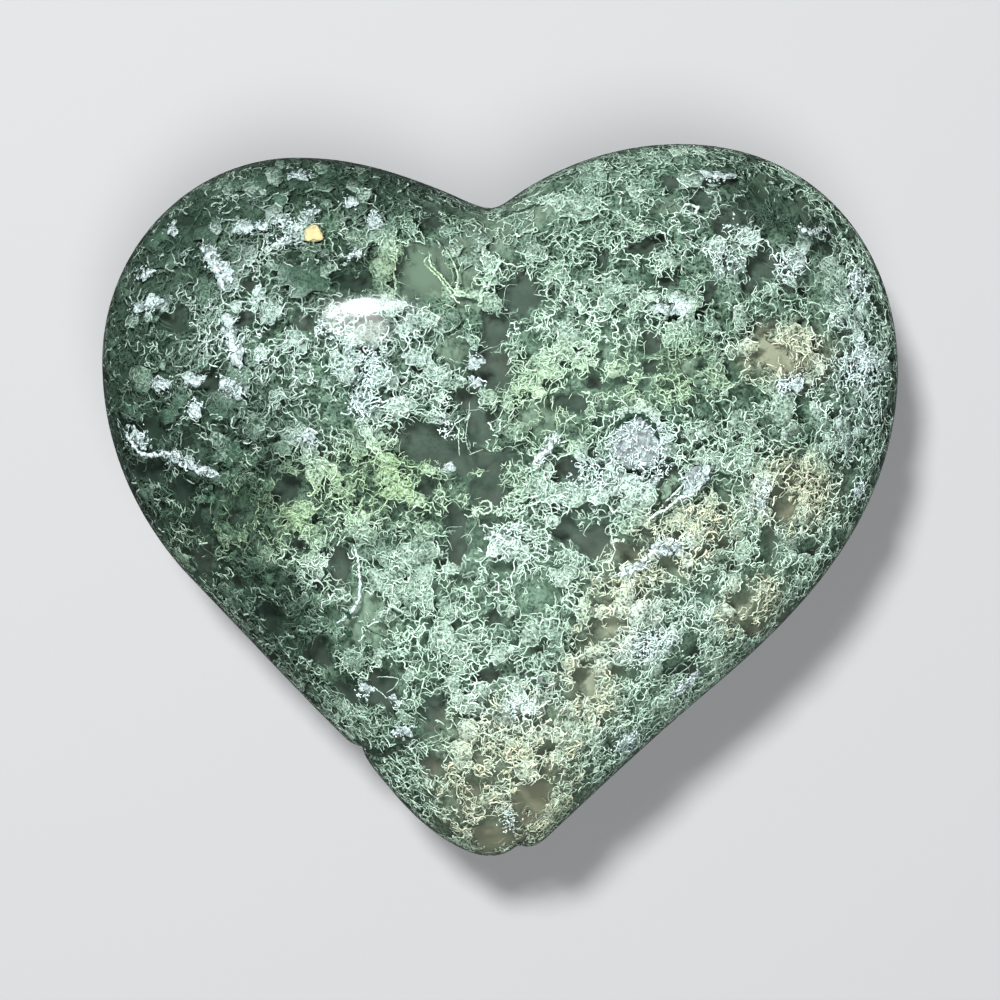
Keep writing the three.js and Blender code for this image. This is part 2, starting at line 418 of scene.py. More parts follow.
VEINS = (
    Vein("moss", 0.1, 0.35, ((-6.9, 23.5), (-7.2, 22.8), (-5.7, 21.3), (-4.3, 19.4))),
    Vein("moss", 0.09, 0.3, ((-6.6, 23.8), (-6.7, 22.9), (-5.2, 21.1), (-3.9, 19.6))),
    Vein("moss", 0.09, 0.3, ((-5.3, 24.5), (-4.3, 22.6), (-4.0, 21.1), (-4.6, 19.4))),
    Vein("moss", 0.12, 0.3, ((-10.1, 25.0), (-9.9, 24.0), (-9.9, 22.9))),
    Vein("moss", 0.12, 0.3, ((-10.3, 22.1), (-10.0, 20.9), (-10.1, 19.7))),
    Vein("moss", 0.2, 0.4, ((0.0, 23.5), (-0.8, 22.5), (-1.3, 21.3), (-1.7, 20.2), (-1.9, 19.0))),
    Vein("moss", 0.14, 0.3, ((0.4, 23.3), (-0.3, 22.4), (-0.9, 21.2), (-1.3, 20.2))),
    # This dark vein lies in the nick's crevice: painted shade that darkens the groove.
    Vein("dark", 0.14, 0.5, ((-13.2, -23.6), (-12.0, -24.1), (-10.9, -24.0), (-10.0, -23.5), (-9.0, -23.4))),
    Vein("dark", 0.12, 0.25, ((0.0, 27.2), (1.4, 27.7), (2.9, 28.2), (4.3, 28.5))),
    Vein("pale", 0.08, 0.25, ((-0.4, 26.7), (1.1, 27.4), (2.9, 27.8))),
    Vein("frost", 0.32, 0.4, ((-28.7, 24.5), (-28.0, 23.2), (-27.2, 21.9), (-26.6, 20.2))),
    Vein("frost", 0.3, 0.4, ((-26.6, 16.8), (-25.9, 15.4), (-25.4, 14.0), (-24.9, 12.5))),
    Vein(
        "frost", 0.2, 0.3, ((-36.2, 6.8), (-35.4, 5.4), (-34.5, 4.4), (-32.7, 4.3), (-31.1, 4.4),
        (-30.6, 3.4), (-28.2, 2.8))
    ),
    Vein("frost", 0.26, 0.35, ((5.5, 6.0), (4.9, 5.2), (4.1, 4.5), (3.5, 3.7))),
    Vein(
        "frost", 0.14, 0.35, ((-14.1, -4.3), (-13.7, -5.7), (-13.5, -7.6), (-13.6, -9.5), (-14.4, -10.9),
        (-15.8, -11.9))
    ),
    Vein("pale", 0.05, 0.6, ((-3.9, 7.0), (-4.0, 5.8), (-3.9, 4.2))),
    Vein("pale", 0.05, 0.7, ((-2.9, 9.5), (-3.1, 7.7), (-3.3, 6.2), (-3.1, 4.9))),
    Vein(
        "pale", 0.12, 0.3, ((17.4, 28.0), (17.8, 28.4), (18.4, 28.4), (19.0, 28.1), (18.6, 27.6),
        (17.9, 27.6), (17.4, 28.0))
    ),
    Vein(
        "pale", 0.1, 0.35, ((-1.9, -0.3), (-1.2, -0.1), (-0.8, -0.6), (-1.0, -1.2), (-1.7, -1.3),
        (-2.1, -0.9))
    ),
    Vein("frost", 0.14, 0.25, ((-19.0, 6.0), (-18.6, 6.6), (-18.0, 6.7), (-17.5, 6.3))),
    Vein(
        "dark", 0.22, 0.22, ((10.9, 6.6), (11.4, 7.3), (12.2, 7.9), (13.1, 8.1), (14.1, 7.7), (14.8, 6.9),
        (15.2, 5.8))
    ),
    Vein("dark", 0.12, 0.3, ((17.2, 3.0), (17.9, 3.6), (18.8, 3.6))),
    Vein(
        "frost", 0.15, 0.35, ((14.2, -2.0), (15.1, -1.3), (16.1, -0.9), (17.2, 0.1), (18.5, 0.5),
        (19.6, 1.6))
    ),
    Vein("frost", 0.1, 0.45, ((15.9, -0.2), (16.9, 0.6), (17.8, 1.6), (18.9, 2.0))),
    Vein("dark", 0.1, 0.22, ((14.2, -2.6), (15.5, -1.7), (16.8, -0.9), (18.2, -0.2), (19.3, 0.6))),
    Vein(
        "frost", 0.2, 0.3, ((11.4, -7.3), (12.4, -7.0), (13.3, -6.6), (13.9, -5.7), (14.7, -5.0),
        (15.4, -4.8))
    ),
    Vein("dark", 0.06, 0.3, ((-13.1, -12.1), (-12.1, -12.8), (-10.9, -13.3), (-9.8, -13.8))),
    Vein("pale", 0.06, 0.4, ((-13.5, -16.7), (-13.2, -17.0), (-12.8, -17.4))),
    Vein("pale", 0.06, 0.4, ((-12.3, -18.0), (-11.6, -18.6), (-10.9, -19.1))),
    Vein("pale", 0.05, 0.5, ((-11.9, -17.1), (-10.8, -17.1), (-9.9, -17.3), (-10.2, -18.0), (-11.0, -18.6))),
)
# Distance between the points of a vein or a crevice.
VEIN_SPACING = 0.16


class Lump(NamedTuple):
    """A lump of other matter under the surface, in millimetres and degrees.

    Flat below is a share of its half width, and ragged is how far its surface is torn out.
    """

    matter: str
    place: tuple
    half: tuple
    turn: float
    depth: float
    flat_below: float = -2.0
    ragged: float = 0.25


LUMPS = (
    Lump("cream", (-17.9, 25.5), (0.88, 0.98, 0.35), 3, 0.5, -0.62, 0.2),
    Lump("druse", (13.2, 5.3), (2.3, 2.3, 0.45), 0, 0.85),
    Lump("druse", (18.6, 2.4), (1.05, 0.55, 0.2), 42, 0.5),
    Lump("mist", (16.3, 1.3), (0.6, 1.1, 0.15), -35, 1.1, ragged=0.5),
    Lump("dark", (-14.5, -12.9), (0.35, 0.3, 0.2), 20, 0.45),
    Lump("dark", (-14.6, -11.1), (0.25, 0.3, 0.2), 0, 0.45),
    Lump("dark", (-12.7, -14.3), (0.45, 0.35, 0.2), -20, 0.5),
    Lump("dark", (-11.2, -15.4), (0.3, 0.25, 0.2), 0, 0.5),
)


def length_setting(name, description, size):
    """Returns the setting of a length, with its usual size in metres."""
    return bpy.props.FloatProperty(name=name, description=description, default=size, unit="LENGTH")


def number_setting(name, description, number):
    """Returns the setting of a plain number."""
    return bpy.props.FloatProperty(name=name, description=description, default=number)


def count_setting(name, description, count):
    """Returns the setting of a whole number."""
    return bpy.props.IntProperty(name=name, description=description, default=count)


def colour_setting(name, description, *colour):
    """Returns the setting of a colour."""
    return bpy.props.FloatVectorProperty(
        name=name, description=description, default=colour, subtype="COLOR", min=0, max=1
    )


class StoneSizes(bpy.types.PropertyGroup):
    """The stone's driving sizes, as its CAD solid has them."""

    girdle: length_setting("Girdle", "Height of the widest line", GIRDLE)
    rise: length_setting("Rise", "Top of the face above the widest line", CAD_BOX[1][2] - GIRDLE)
    back: length_setting("Back", "Depth of the back's full curve", 12.5 * MM)
    fullness: number_setting("Fullness", "Exponent of the section: 2 is an ellipse, more is fuller", 2.2)
    softening: bpy.props.FloatProperty(
        name="Valley Softening",
        description="Arc of the outline that the innermost rings follow",
        default=math.radians(95),
        subtype="ANGLE",
    )
    columns: count_setting("Columns", "Facets round the stone", 480)
    face_rings: count_setting("Face Rings", "Rings of facets on the face", 112)
    back_rings: count_setting("Back Rings", "Rings of facets on the back", 84)


class MossSizes(bpy.types.PropertyGroup):
    """How much moss and frost there is."""

    number: number_setting("Strands per Area", "Strands per square metre of surface in a layer", 0.72e6)
    cell: length_setting("Net Cell", "Width of the cells between joined strands", 1.25 * MM)
    joined_radius: length_setting("Joined Radius", "Radius of the joined strands", 0.066 * MM)
    grains: number_setting("Grains per Area", "Crystals per square metre of frost", 6e6)
    grain_size: length_setting("Grain Size", "Radius of a crystal", 0.085 * MM)


class AgateColours(bpy.types.PropertyGroup):
    """Colours of the stone's kinds of matter."""

    pale: colour_setting("Pale Moss", "Brightest strands", 0.68, 0.89, 0.75)
    mint: colour_setting("Mint Moss", "Most of the strands", 0.29, 0.46, 0.34)
    deep: colour_setting("Deep Moss", "Strands in the shade", 0.026, 0.060, 0.038)
    tan: colour_setting("Tan Moss", "Warm strands near the tip", 0.62, 0.64, 0.455)
    cloud: colour_setting("Cloud", "Cloudy depths", 0.017, 0.035, 0.023)
    clear: colour_setting("Clear Depths", "Windows without moss", 0.054, 0.080, 0.064)
    mist: colour_setting("Mist", "Smooth pale patches", 0.12, 0.175, 0.13)
    cream: colour_setting("Cream", "The one opaque cream lump", 0.42, 0.36, 0.19)
    frost: colour_setting("Frost", "White crystals", 0.72, 0.86, 0.88)


class StageSizes(bpy.types.PropertyGroup):
    """The camera, lamps and floor."""

    frame_width: length_setting("Frame Width", "Width of the picture at the widest line", 95.72 * MM)
    camera_distance: length_setting("Camera Distance", "From the widest line", VIEW_HEIGHT * MM)
    key_power: number_setting("Key Power", "Watts of the key lamp", 8.8)
    fill_power: number_setting("Fill Power", "Watts of the soft lamp", 7.4)
    glint_distance: length_setting("Glint Distance", "From the stone to the lamp that it mirrors", 0.03)
    glint_power: number_setting("Glint Power", "Watts of the lamp that the stone mirrors", 0.02)


def bezier_outline():
    """Returns the outline's points."""
    spots = []
    start = np.array(NOTCH)
    for row in OUTLINE:
        first, second, end = np.array(row[:2]), np.array(row[2:4]), np.array(row[4:])
        t = np.linspace(0, 1, CURVE_POINTS + 1)[1:, None]
        spots.append(
            (1 - t) ** 3 * start + 3 * (1 - t) ** 2 * t * first + 3 * (1 - t) * t**2 * second + t**3 * end
        )
        start = end
    return np.concatenate(spots)


class Outline:
    """The outline as distances from the highest point, with their running sum for means over an arc."""

    def __init__(self, inset=0.0):
        offsets = bezier_outline() - np.array(TOP)
        angles = np.mod(np.arctan2(offsets[:, 1], offsets[:, 0]), 2 * np.pi)
        order = np.argsort(angles)
        distances = np.hypot(*offsets.T)[order] - inset / MM
        self.turn = np.linspace(-2 * np.pi, 4 * np.pi, 3 * TURN_STEPS + 1)
        self.distance = np.interp(np.mod(self.turn, 2 * np.pi), angles[order], distances, period=2 * np.pi)
        middle = (self.distance[1:] + self.distance[:-1]) / 2 * np.diff(self.turn)
        self.total = np.concatenate([[0.0], np.cumsum(middle)])

    def ring(self, angles, share, softening):
        """Returns the distances of one ring of the stone, in metres."""
        arc = max((1 - share) * softening, SMALLEST_ARC)
        ahead = np.interp(angles + arc / 2, self.turn, self.total)
        behind = np.interp(angles - arc / 2, self.turn, self.total)
        return share * (ahead - behind) / arc * MM


def heart_profile(sizes, inset):
    """Returns the rings' shares and heights from the top of the face to the rim of the resting face."""
    power = 2 / sizes.fullness
    rise, back = sizes.rise - inset, sizes.back - inset
    rows = []
    for i in range(1, sizes.face_rings + 1):
        turn = math.pi / 2 * i / sizes.face_rings
        rows.append((math.sin(turn) ** power, sizes.girdle + rise * abs(math.cos(turn)) ** power))
    cut = math.asin((min(sizes.girdle - inset, back) / back) ** (1 / power))
    for i in range(1, sizes.back_rings + 1):
        turn = cut * i / sizes.back_rings
        rows.append((math.cos(turn) ** power, sizes.girdle - back * math.sin(turn) ** power))
    return rows


def heart_mesh(name, sizes, inset=0.0, rim_inset=0.0):
    """Builds a closed heart, whose surface lies an inset inside the stone's, and less at its widest line."""
    outline = Outline(rim_inset)
    angles = np.linspace(0, 2 * np.pi, sizes.columns, endpoint=False)
    top = np.array(TOP) * MM
    rings = []
    for share, height in heart_profile(sizes, inset):
        distance = outline.ring(angles, share, sizes.softening)
        x = top[0] + distance * np.cos(angles)
        y = top[1] + distance * np.sin(angles)
        rings.append(np.stack([x, y, np.full_like(x, height)], axis=1))
    base_height = rings[-1][0][2]
    spots = np.concatenate([[[*top, sizes.girdle + sizes.rise - inset]], *rings, [[*top, base_height]]])
    count = len(rings)
    around = np.arange(sizes.columns)
    beside = (around + 1) % sizes.columns
    faces = [(0, 1 + a, 1 + b) for a, b in zip(around, beside)]
    for row in range(count - 1):
        near, far = 1 + row * sizes.columns, 1 + (row + 1) * sizes.columns
        faces += [(near + a, far + a, far + b, near + b) for a, b in zip(around, beside)]
    last = 1 + (count - 1) * sizes.columns
    faces += [(last + b, last + a, len(spots) - 1) for a, b in zip(around, beside)]
    mesh = bpy.data.meshes.new(name)
    mesh.from_pydata(spots.tolist(), [], [tuple(int(v) for v in face) for face in faces])
    mesh.shade_smooth()
    return mesh


def mesh_spots(mesh):
    """Returns the mesh's points as an array, in metres."""
    spots = np.empty(len(mesh.vertices) * 3)
    mesh.vertices.foreach_get("co", spots)
    return spots.reshape(-1, 3)


def store(mesh, name, values):
    """Stores a number on each of a mesh's points."""
    attribute = mesh.attributes.new(name, "FLOAT", "POINT")
    attribute.data.foreach_set("value", np.asarray(values, np.float32))


def recall(mesh, name):
    """Returns the numbers that are stored on a mesh's points."""
    values = np.empty(len(mesh.vertices))
    mesh.attributes[name].data.foreach_get("value", values)
    return values


def noise_at(spots, scale, shift=(0, 0, 0)):
    """Returns smooth noise at points in millimetres, about -0.6 to 0.6."""
    moved = Vector(shift)
    return np.array([noise.noise(Vector(spot) / scale + moved) for spot in spots])


def wobbled(spots):
    """Returns points in millimetres shifted by smooth noise, so that round zones get ragged edges."""
    moved = spots.copy()
    for size, scale in WOBBLES:
        moved += np.array([size * noise.noise_vector(Vector(spot) / scale) for spot in spots])
    return moved


def zone_strength(spots, zones, grow=1.0, soft=SOFT_EDGE):
    """Returns how far each point lies in any of the zones, from 0 outside to 1 inside."""
    strength = np.zeros(len(spots))
    for x, y, half_length, half_width, turn in zones:
        cos, sin = math.cos(math.radians(turn)), math.sin(math.radians(turn))
        along = (spots[:, 0] - x) * cos + (spots[:, 1] - y) * sin
        across = (spots[:, 1] - y) * cos - (spots[:, 0] - x) * sin
        reach = np.hypot(along / (half_length * grow), across / (half_width * grow))
        inside = np.clip((1 + soft - reach) / (2 * soft), 0, 1)
        strength = np.maximum(strength, inside * inside * (3 - 2 * inside))
    return strength


def store_zones(mesh, sizes):
    """Stores on a heart's points how much of each kind of matter lies there, and its painted light and shade.
    """
    spots = mesh_spots(mesh) / MM
    above = spots[:, 2] - sizes.girdle / MM
    spots[:, :2] *= (VIEW_HEIGHT / (VIEW_HEIGHT - above))[:, None]
    ragged = wobbled(spots)
    face = np.clip(above / FACE_IN_FULL, 0, 1)
    back = np.clip(-above / BACK_IN_FULL, 0, 1)
    # Windows on the unseen sides and back come from smooth noise.
    coarseness, start, width = BACK_WINDOWS
    unseen = (1 - face) * np.clip((noise_at(spots, coarseness) - start) / width, 0, 1)
    window = face * zone_strength(ragged, WINDOWS) + unseen
    wide = face * zone_strength(ragged, WINDOWS, 1.2, 0.6) + unseen
    mist = face * zone_strength(ragged, MISTS, 1.0, 0.6)
    tan = face * zone_strength(ragged, TANS, 1.0, 0.5)
    # Painted shade and painted light: the shaded zones, the glowing zones and a brighter back, partly darker
    # and paler moss.
    shade = np.clip(1 - 1.4 * back, 0, 1) * zone_strength(spots, SHADES, 1.0, 0.7)
    glow = face * zone_strength(spots, GLOWS, 1.0, 0.8) + 0.3 * back
    clumps = 0.85 + 1.5 * noise_at(spots, 1.15, (7, 3, 1)) + 0.8 * noise_at(spots, 3.6, (2, 9, 4))
    moss = (1 - window) * (1 - 0.72 * mist) * np.clip(clumps, 0.12, 1.7)
    icy = zone_strength(ragged, FROSTS, 1.5, 0.5)
    values = {
        "wide": wide,
        "mist": mist,
        "tan": tan,
        "frost": face * zone_strength(ragged, FROSTS, 1.15),
        "cool": face * np.maximum(0.6 * zone_strength(spots, COOLS, 1.0, 0.7), icy),
        "olive": face * zone_strength(ragged, OLIVES, 1.0, 0.7),
        "light": np.clip(0.5 + 0.5 * glow - 0.5 * shade, 0, 1),
        "moss": moss,
        "dry_moss": moss * tan,
        "hanging": (1 - window) * np.clip(wide * 3, 0, 1),
    }
    for name, value in values.items():
        store(mesh, name, value)


def stone_skin(sizes):
    """Returns the stone's outer surface with its zones, for the moss and the crystals to grow under."""
    mesh = heart_mesh("skin", sizes)
    store_zones(mesh, sizes)
    return mesh


def add_object(name, data):
    """Puts an object with this data in the scene."""
    added = bpy.data.objects.new(name, data)
    bpy.context.scene.collection.objects.link(added)
    return added


def add_piece(name, mesh, material=None):
    """Puts a mesh in the scene as a piece of the stone that rides with it."""
    piece = add_object(name, mesh)
    if material is not None:
        mesh.materials.clear()
        mesh.materials.append(material)
    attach(piece, BODY)
    return piece


def final_mesh(thing):
    """Takes an object out of the scene and returns its mesh, with its modifiers applied."""
    mesh = bpy.data.meshes.new_from_object(thing.evaluated_get(bpy.context.evaluated_depsgraph_get()))
    bpy.data.objects.remove(thing)
    return mesh


def shaped_mesh(name, shape):
    """Turns a BMesh into a smooth mesh."""
    mesh = bpy.data.meshes.new(name)
    shape.to_mesh(mesh)
    shape.free()
    mesh.shade_smooth()
    return mesh


class Nodes:
    """Writes a node tree: each call adds nodes, sets their values and links their inputs."""

    def __init__(self, tree):
        self.tree = tree

    def put(self, value, socket):
        """Gives an input another node's output, or a plain value. A colour needs no alpha."""
        if isinstance(value, bpy.types.NodeSocket):
            self.tree.links.new(value, socket)
        elif socket.type == "RGBA":
            socket.default_value = (*value, 1.0)
        else:
            socket.default_value = value

    def add(self, kind, inputs=None, **settings):
        """Adds a node. An input is named by its name or index."""
        node = self.tree.nodes.new(kind)
        for name, value in settings.items():
            setattr(node, name, value)
        for key, value in (inputs or {}).items():
            self.put(value, node.inputs[key])
        return node

    def get(self, output, kind, inputs=None, **settings):
        """Adds a node and returns one of its outputs."""
        return self.add(kind, inputs, **settings).outputs[output]

    def math(self, operation, *values, clamp=False):
        """Returns the result of a math node."""
        return self.get(0, "ShaderNodeMath", dict(enumerate(values)), operation=operation, use_clamp=clamp)

    def product(self, result, *factors):
        """Returns numbers multiplied together."""
        for factor in factors:
            result = self.math("MULTIPLY", result, factor)
        return result

    def less(self, value, taken):
        """Returns a number less another."""
        return self.math("SUBTRACT", value, taken)

    def vector(self, operation, *values):
        """Returns the result of a vector math node."""
        output = "Value" if operation in {"DOT_PRODUCT", "LENGTH"} else "Vector"
        return self.get(output, "ShaderNodeVectorMath", dict(enumerate(values)), operation=operation)

    def scaled(self, vector, factor):
        """Returns a vector times a number."""
        return self.get("Vector", "ShaderNodeVectorMath", {0: vector, "Scale": factor}, operation="SCALE")

    def centred(self, vector):
        """Returns a vector of numbers from 0 to 1 shifted to the range from -0.5 to 0.5."""
        return self.vector("SUBTRACT", vector, (0.5, 0.5, 0.5))

    def ramp(self, value, low, high, out_low=0.0, out_high=1.0):
        """Returns a value taken smoothly from one range to another."""
        inputs = {"Value": value, "From Min": low, "From Max": high, "To Min": out_low, "To Max": out_high}
        return self.get("Result", "ShaderNodeMapRange", inputs, interpolation_type="SMOOTHSTEP")

    def between(self, share, low, high):
        """Returns the value at this share of the way from one to another."""
        return self.get("Result", "ShaderNodeMapRange", {"Value": share, "To Min": low, "To Max": high})

    def joined(self, *numbers):
        """Returns a vector of three numbers."""
        return self.get("Vector", "ShaderNodeCombineXYZ", dict(enumerate(numbers)))


class Shader(Nodes):
    """Writes a material's nodes."""

    def __init__(self, name):
        self.material = bpy.data.materials.new(name)
        self.material.use_nodes = True
        super().__init__(self.material.node_tree)
        self.surface = self.tree.nodes["Principled BSDF"]
        self.place = self.get("Object", "ShaderNodeTexCoord")

    def attribute(self, name, factor=None):
        """Returns a number stored on the mesh, times a factor if there is one."""
        value = self.get("Fac", "ShaderNodeAttribute", attribute_name=name)
        return value if factor is None else self.product(value, factor)

    def noise(self, scale, detail=2.0, roughness=0.5, shift=(0, 0, 0), distortion=0.0, vector=None):
        """Returns noise with a scale per metre."""
        place = self.vector("ADD", vector or self.place, shift)
        inputs = {"Vector": place, "Scale": scale, "Detail": detail}
        inputs |= {"Roughness": roughness, "Distortion": distortion}
        return self.get("Fac", "ShaderNodeTexNoise", inputs)

    def bent_place(self, scale, reach):
        """Returns the place shifted by noise with a scale per metre, by half the reach at most."""
        inputs = {"Vector": self.place, "Scale": scale, "Detail": 2.0}
        shift = self.centred(self.get("Color", "ShaderNodeTexNoise", inputs))
        return self.vector("ADD", self.place, self.scaled(shift, reach))

    def cells(self, scale, shift, place):
        """Returns the distance to the nearest wall of irregular cells, with a scale per metre."""
        inputs = {"Vector": self.vector("ADD", place, shift), "Scale": scale}
        return self.get("Distance", "ShaderNodeTexVoronoi", inputs, feature="DISTANCE_TO_EDGE")

    def mix(self, factor, first, second):
        """Returns a mix of two colours."""
        node = self.add("ShaderNodeMix", {0: factor}, data_type="RGBA")
        sockets = [socket for socket in node.inputs if socket.type == "RGBA"]
        for value, socket in zip((first, second), sockets):
            self.put(value, socket)
        return [socket for socket in node.outputs if socket.type == "RGBA"][0]

    def finish(self, colour, bump=None, bump_distance=0.0, **values):
        """Gives the surface its colour, relief and other values, and returns the material."""
        self.put(colour, self.surface.inputs["Base Color"])
        if bump is not None:
            inputs = {"Height": bump, "Distance": bump_distance, "Strength": 1.0}
            self.put(self.get("Normal", "ShaderNodeBump", inputs), self.surface.inputs["Normal"])
        for name, value in values.items():
            self.put(value, self.surface.inputs[name.replace("_", " ")])
        return self.material


def times(colour, factor):
    """Returns a colour times a number."""
    return tuple(c * factor for c in colour)


def clear_material():
    """Clear polished chalcedony, faintly green where it is deep."""
    shader = Shader("clear_chalcedony")
    inputs = {"Color": (0.72, 0.86, 0.76), "Density": 60.0}
    absorption = shader.get("Volume", "ShaderNodeVolumeAbsorption", inputs)
    shader.put(absorption, shader.tree.nodes["Material Output"].inputs["Volume"])
    return shader.finish((1, 1, 1), Transmission_Weight=1.0, IOR=1.54, Roughness=0.025)


def cloud_material(colours):
    """Cloudy depths: dark clouds, blurred deep moss, clear windows, smooth mist, painted light and shade."""
    shader = Shader("cloudy_chalcedony")
    clouds = shader.noise(300, 3.0, 0.6)
    dark = shader.mix(shader.ramp(clouds, 0.3, 0.7), times(colours.cloud, 0.5), times(colours.cloud, 1.9))
    bent = shader.bent_place(900, 0.9 * MM)
    lines = shader.ramp(shader.cells(800, (0, 0, 0), bent), 0.02, 0.10, 1.0, 0.0)
    finer = shader.ramp(shader.cells(1250, (0.3, 0.1, 0.2), bent), 0.02, 0.14, 1.0, 0.0)
    field = shader.noise(1700, 1.0, 0.55, (0.7, 0.4, 0.1), 0.5)
    curls = shader.ramp(shader.math("ABSOLUTE", shader.less(field, 0.5)), 0.01, 0.05, 0.8, 0.0)
    buried = shader.math("MAXIMUM", shader.math("MAXIMUM", lines, finer), curls)
    patches = shader.ramp(shader.noise(520, 2.0, 0.6, (0.9, 0.2, 0.6)), 0.36, 0.6, 0.15, 1.0)
    tufts = shader.mix(shader.product(buried, patches, 0.85), dark, times(colours.mint, 0.43))
    fine = shader.noise(3400, 3.0, 0.7, (0.3, 0.7, 0.5))
    specks = shader.product(shader.ramp(fine, 0.5, 0.6, 0.0, 0.55), patches)
    speckled = shader.mix(specks, tufts, times(colours.mint, 0.55))
    moss = shader.mix(shader.ramp(fine, 0.37, 0.46, 0.6, 0.0), speckled, times(colours.cloud, 0.35))
    warm = shader.mix(shader.attribute("tan", 0.65), moss, times(colours.tan, 0.2))

    stretch = {"Vector": shader.place, "Rotation": (0, 0, 0.9), "Scale": (1.0, 0.28, 1.0)}
    drawn = shader.get("Vector", "ShaderNodeMapping", stretch)
    streaks = shader.noise(1300, 3.0, 0.65, (0.2, 0.5, 0.1), 0.5, drawn)
    ragged = shader.less(shader.noise(1300, 2.0, 0.6, (0.4, 0.8, 0.3)), 0.5)
    torn = shader.math("ADD", shader.attribute("mist"), shader.product(ragged, 2.2))
    pale = shader.mix(shader.ramp(streaks, 0.3, 0.75), times(colours.mist, 0.62), times(colours.mist, 1.3))
    dry = shader.mix(shader.attribute("tan", 0.8), pale, times(colours.tan, 0.36))
    misty = shader.mix(shader.ramp(torn, 0.25, 0.95), warm, dry)
    # Painted light: the glowing zones lift the depths towards mint.
    glow = shader.ramp(shader.attribute("light"), 0.5, 1.0, 0.0, 0.13)
    lifted = shader.mix(glow, misty, times(colours.mint, 0.8))

    opened = shader.math("ADD", shader.attribute("wide"), shader.product(ragged, 0.8))
    bottom = shader.noise(420, 2.5, 0.5, (0.6, 0.3, 0.9))
    grey = shader.mix(shader.ramp(bottom, 0.35, 0.65), colours.clear, (0.058, 0.072, 0.06))
    seen = shader.mix(shader.ramp(clouds, 0.25, 0.75), times(colours.clear, 0.65), grey)
    dusky = shader.mix(shader.attribute("tan", 0.8), seen, (0.2, 0.205, 0.15))
    veiled = shader.mix(shader.product(patches, 0.08), dusky, moss)
    smoky = shader.mix(shader.attribute("tan"), times(colours.mist, 0.9), (0.165, 0.172, 0.118))
    hazy = shader.mix(shader.attribute("mist", 0.8), veiled, smoky)
    whole = shader.mix(shader.ramp(opened, 0.35, 0.7), lifted, hazy)
    # Painted shade: the shaded zones darken the depths towards near black.
    lit = shader.ramp(shader.attribute("light"), 0.0, 0.5, 0.3, 1.0)
    colour = shader.mix(lit, (0.010, 0.021, 0.014), whole)
    return shader.finish(colour, Roughness=0.9, Specular_IOR_Level=0.0)


def moss_material(name, colours, pale, tone, fine=0.0, dimming=0.93):
    """Strands of moss: each has its own tint, deeper ones are painted darker and duller, standing in for the
    milky stone above them and the shade deep in it, and painted light and shade make some parts of the stone
    brighter and others darker.

    Fine is how strongly a fine pattern of veins and dark gaps shows on it, and dimming is how much it darkens
    in the painted shade.
    """
    shader = Shader(name)
    draw, light = shader.attribute("draw"), shader.attribute("light")
    patchy = shader.ramp(shader.noise(190, 2.0, 0.6), 0.35, 0.65, -0.22, 0.45)
    green = shader.mix(shader.math("ADD", shader.product(draw, 0.6), patchy, clamp=True), tone, pale)
    leafy = shader.mix(shader.attribute("olive", 0.7), green, (0.36, 0.52, 0.26))
    dry = shader.product(shader.attribute("warm"), shader.ramp(draw, 0.0, 0.7, 0.6, 0.85))
    warm = shader.mix(dry, leafy, colours.tan)
    frosted = shader.product(shader.attribute("cool"), shader.ramp(draw, 0.0, 0.6, 0.2, 0.85))
    cool = shader.mix(frosted, warm, colours.frost)
    flecks = shader.noise(4300, 2.0, 0.65, (0.4, 0.3, 0.7))
    bright = shader.mix(shader.ramp(flecks, 0.52, 0.64, 0.0, 0.5), cool, (0.8, 0.93, 0.87))
    dull = shader.mix(shader.ramp(flecks, 0.34, 0.46, 0.5, 0.0), bright, colours.deep)

    shade = shader.mix(shader.attribute("warm", 0.8), colours.deep, times(colours.tan, 0.1))
    # Painted shade: where the stored light is low, strands darken towards the shade colour, the brightest of
    # them least.
    dimmed = shader.ramp(light, 0.0, 0.5, dimming, 0.0)
    dark = shader.product(dimmed, shader.ramp(draw, 0.65, 0.95, 1.0, 0.45))
    # Painted light: where the stored light is high, strands are lifted towards pale.
    glow = shader.ramp(light, 0.5, 1.0)
    lit = shader.mix(dark, shader.mix(shader.product(glow, 0.4), dull, pale), shade)
    # Painted shade by depth: deeper strands darken, standing in for the milky stone above them and the shade
    # deep in it, less so in the painted light.
    sunk = shader.ramp(shader.attribute("depth"), 0.04, 0.52, 0.0, 0.97)
    sunk = shader.product(sunk, shader.less(1.0, shader.product(glow, 0.5)))
    colour = shader.mix(sunk, lit, shade)
    if fine == 0.0:
        return shader.finish(colour, Roughness=0.6, Specular_IOR_Level=0.0)

    grain = shader.noise(2600, 3.0, 0.7, (0.1, 0.6, 0.2))
    gaps = shader.product(shader.ramp(grain, 0.4, 0.6, 1.0, 0.0), fine)
    colour = shader.mix(gaps, colour, colours.deep)
    walls = shader.cells(2100, (0.5, 0.2, 0.8), shader.bent_place(1500, 0.5 * MM))
    veins = shader.ramp(walls, 0.02, 0.13, fine, 0.0)
    colour = shader.mix(veins, colour, shader.mix(sunk, lit, tone))
    return shader.finish(colour, grain, 0.05 * MM, Roughness=0.6, Specular_IOR_Level=0.0)


def lump_material(name, first, second):
    """Opaque matter of two mixed colours, with a grainy surface."""
    shader = Shader(name)
    grain = shader.noise(2400, 3.0, 0.7)
    colour = shader.mix(shader.ramp(grain, 0.35, 0.65), first, second)
    return shader.finish(colour, grain, 0.08 * MM, Roughness=0.5, Specular_IOR_Level=0.0)


# The kinds of a tree's inputs, where they aren't plain numbers.
INPUT_KINDS = {
    "Geometry": "Geometry",
    "Matter": "String",
    "Steps": "Int",
    "Seed": "Int",
    "Material": "Material",
}


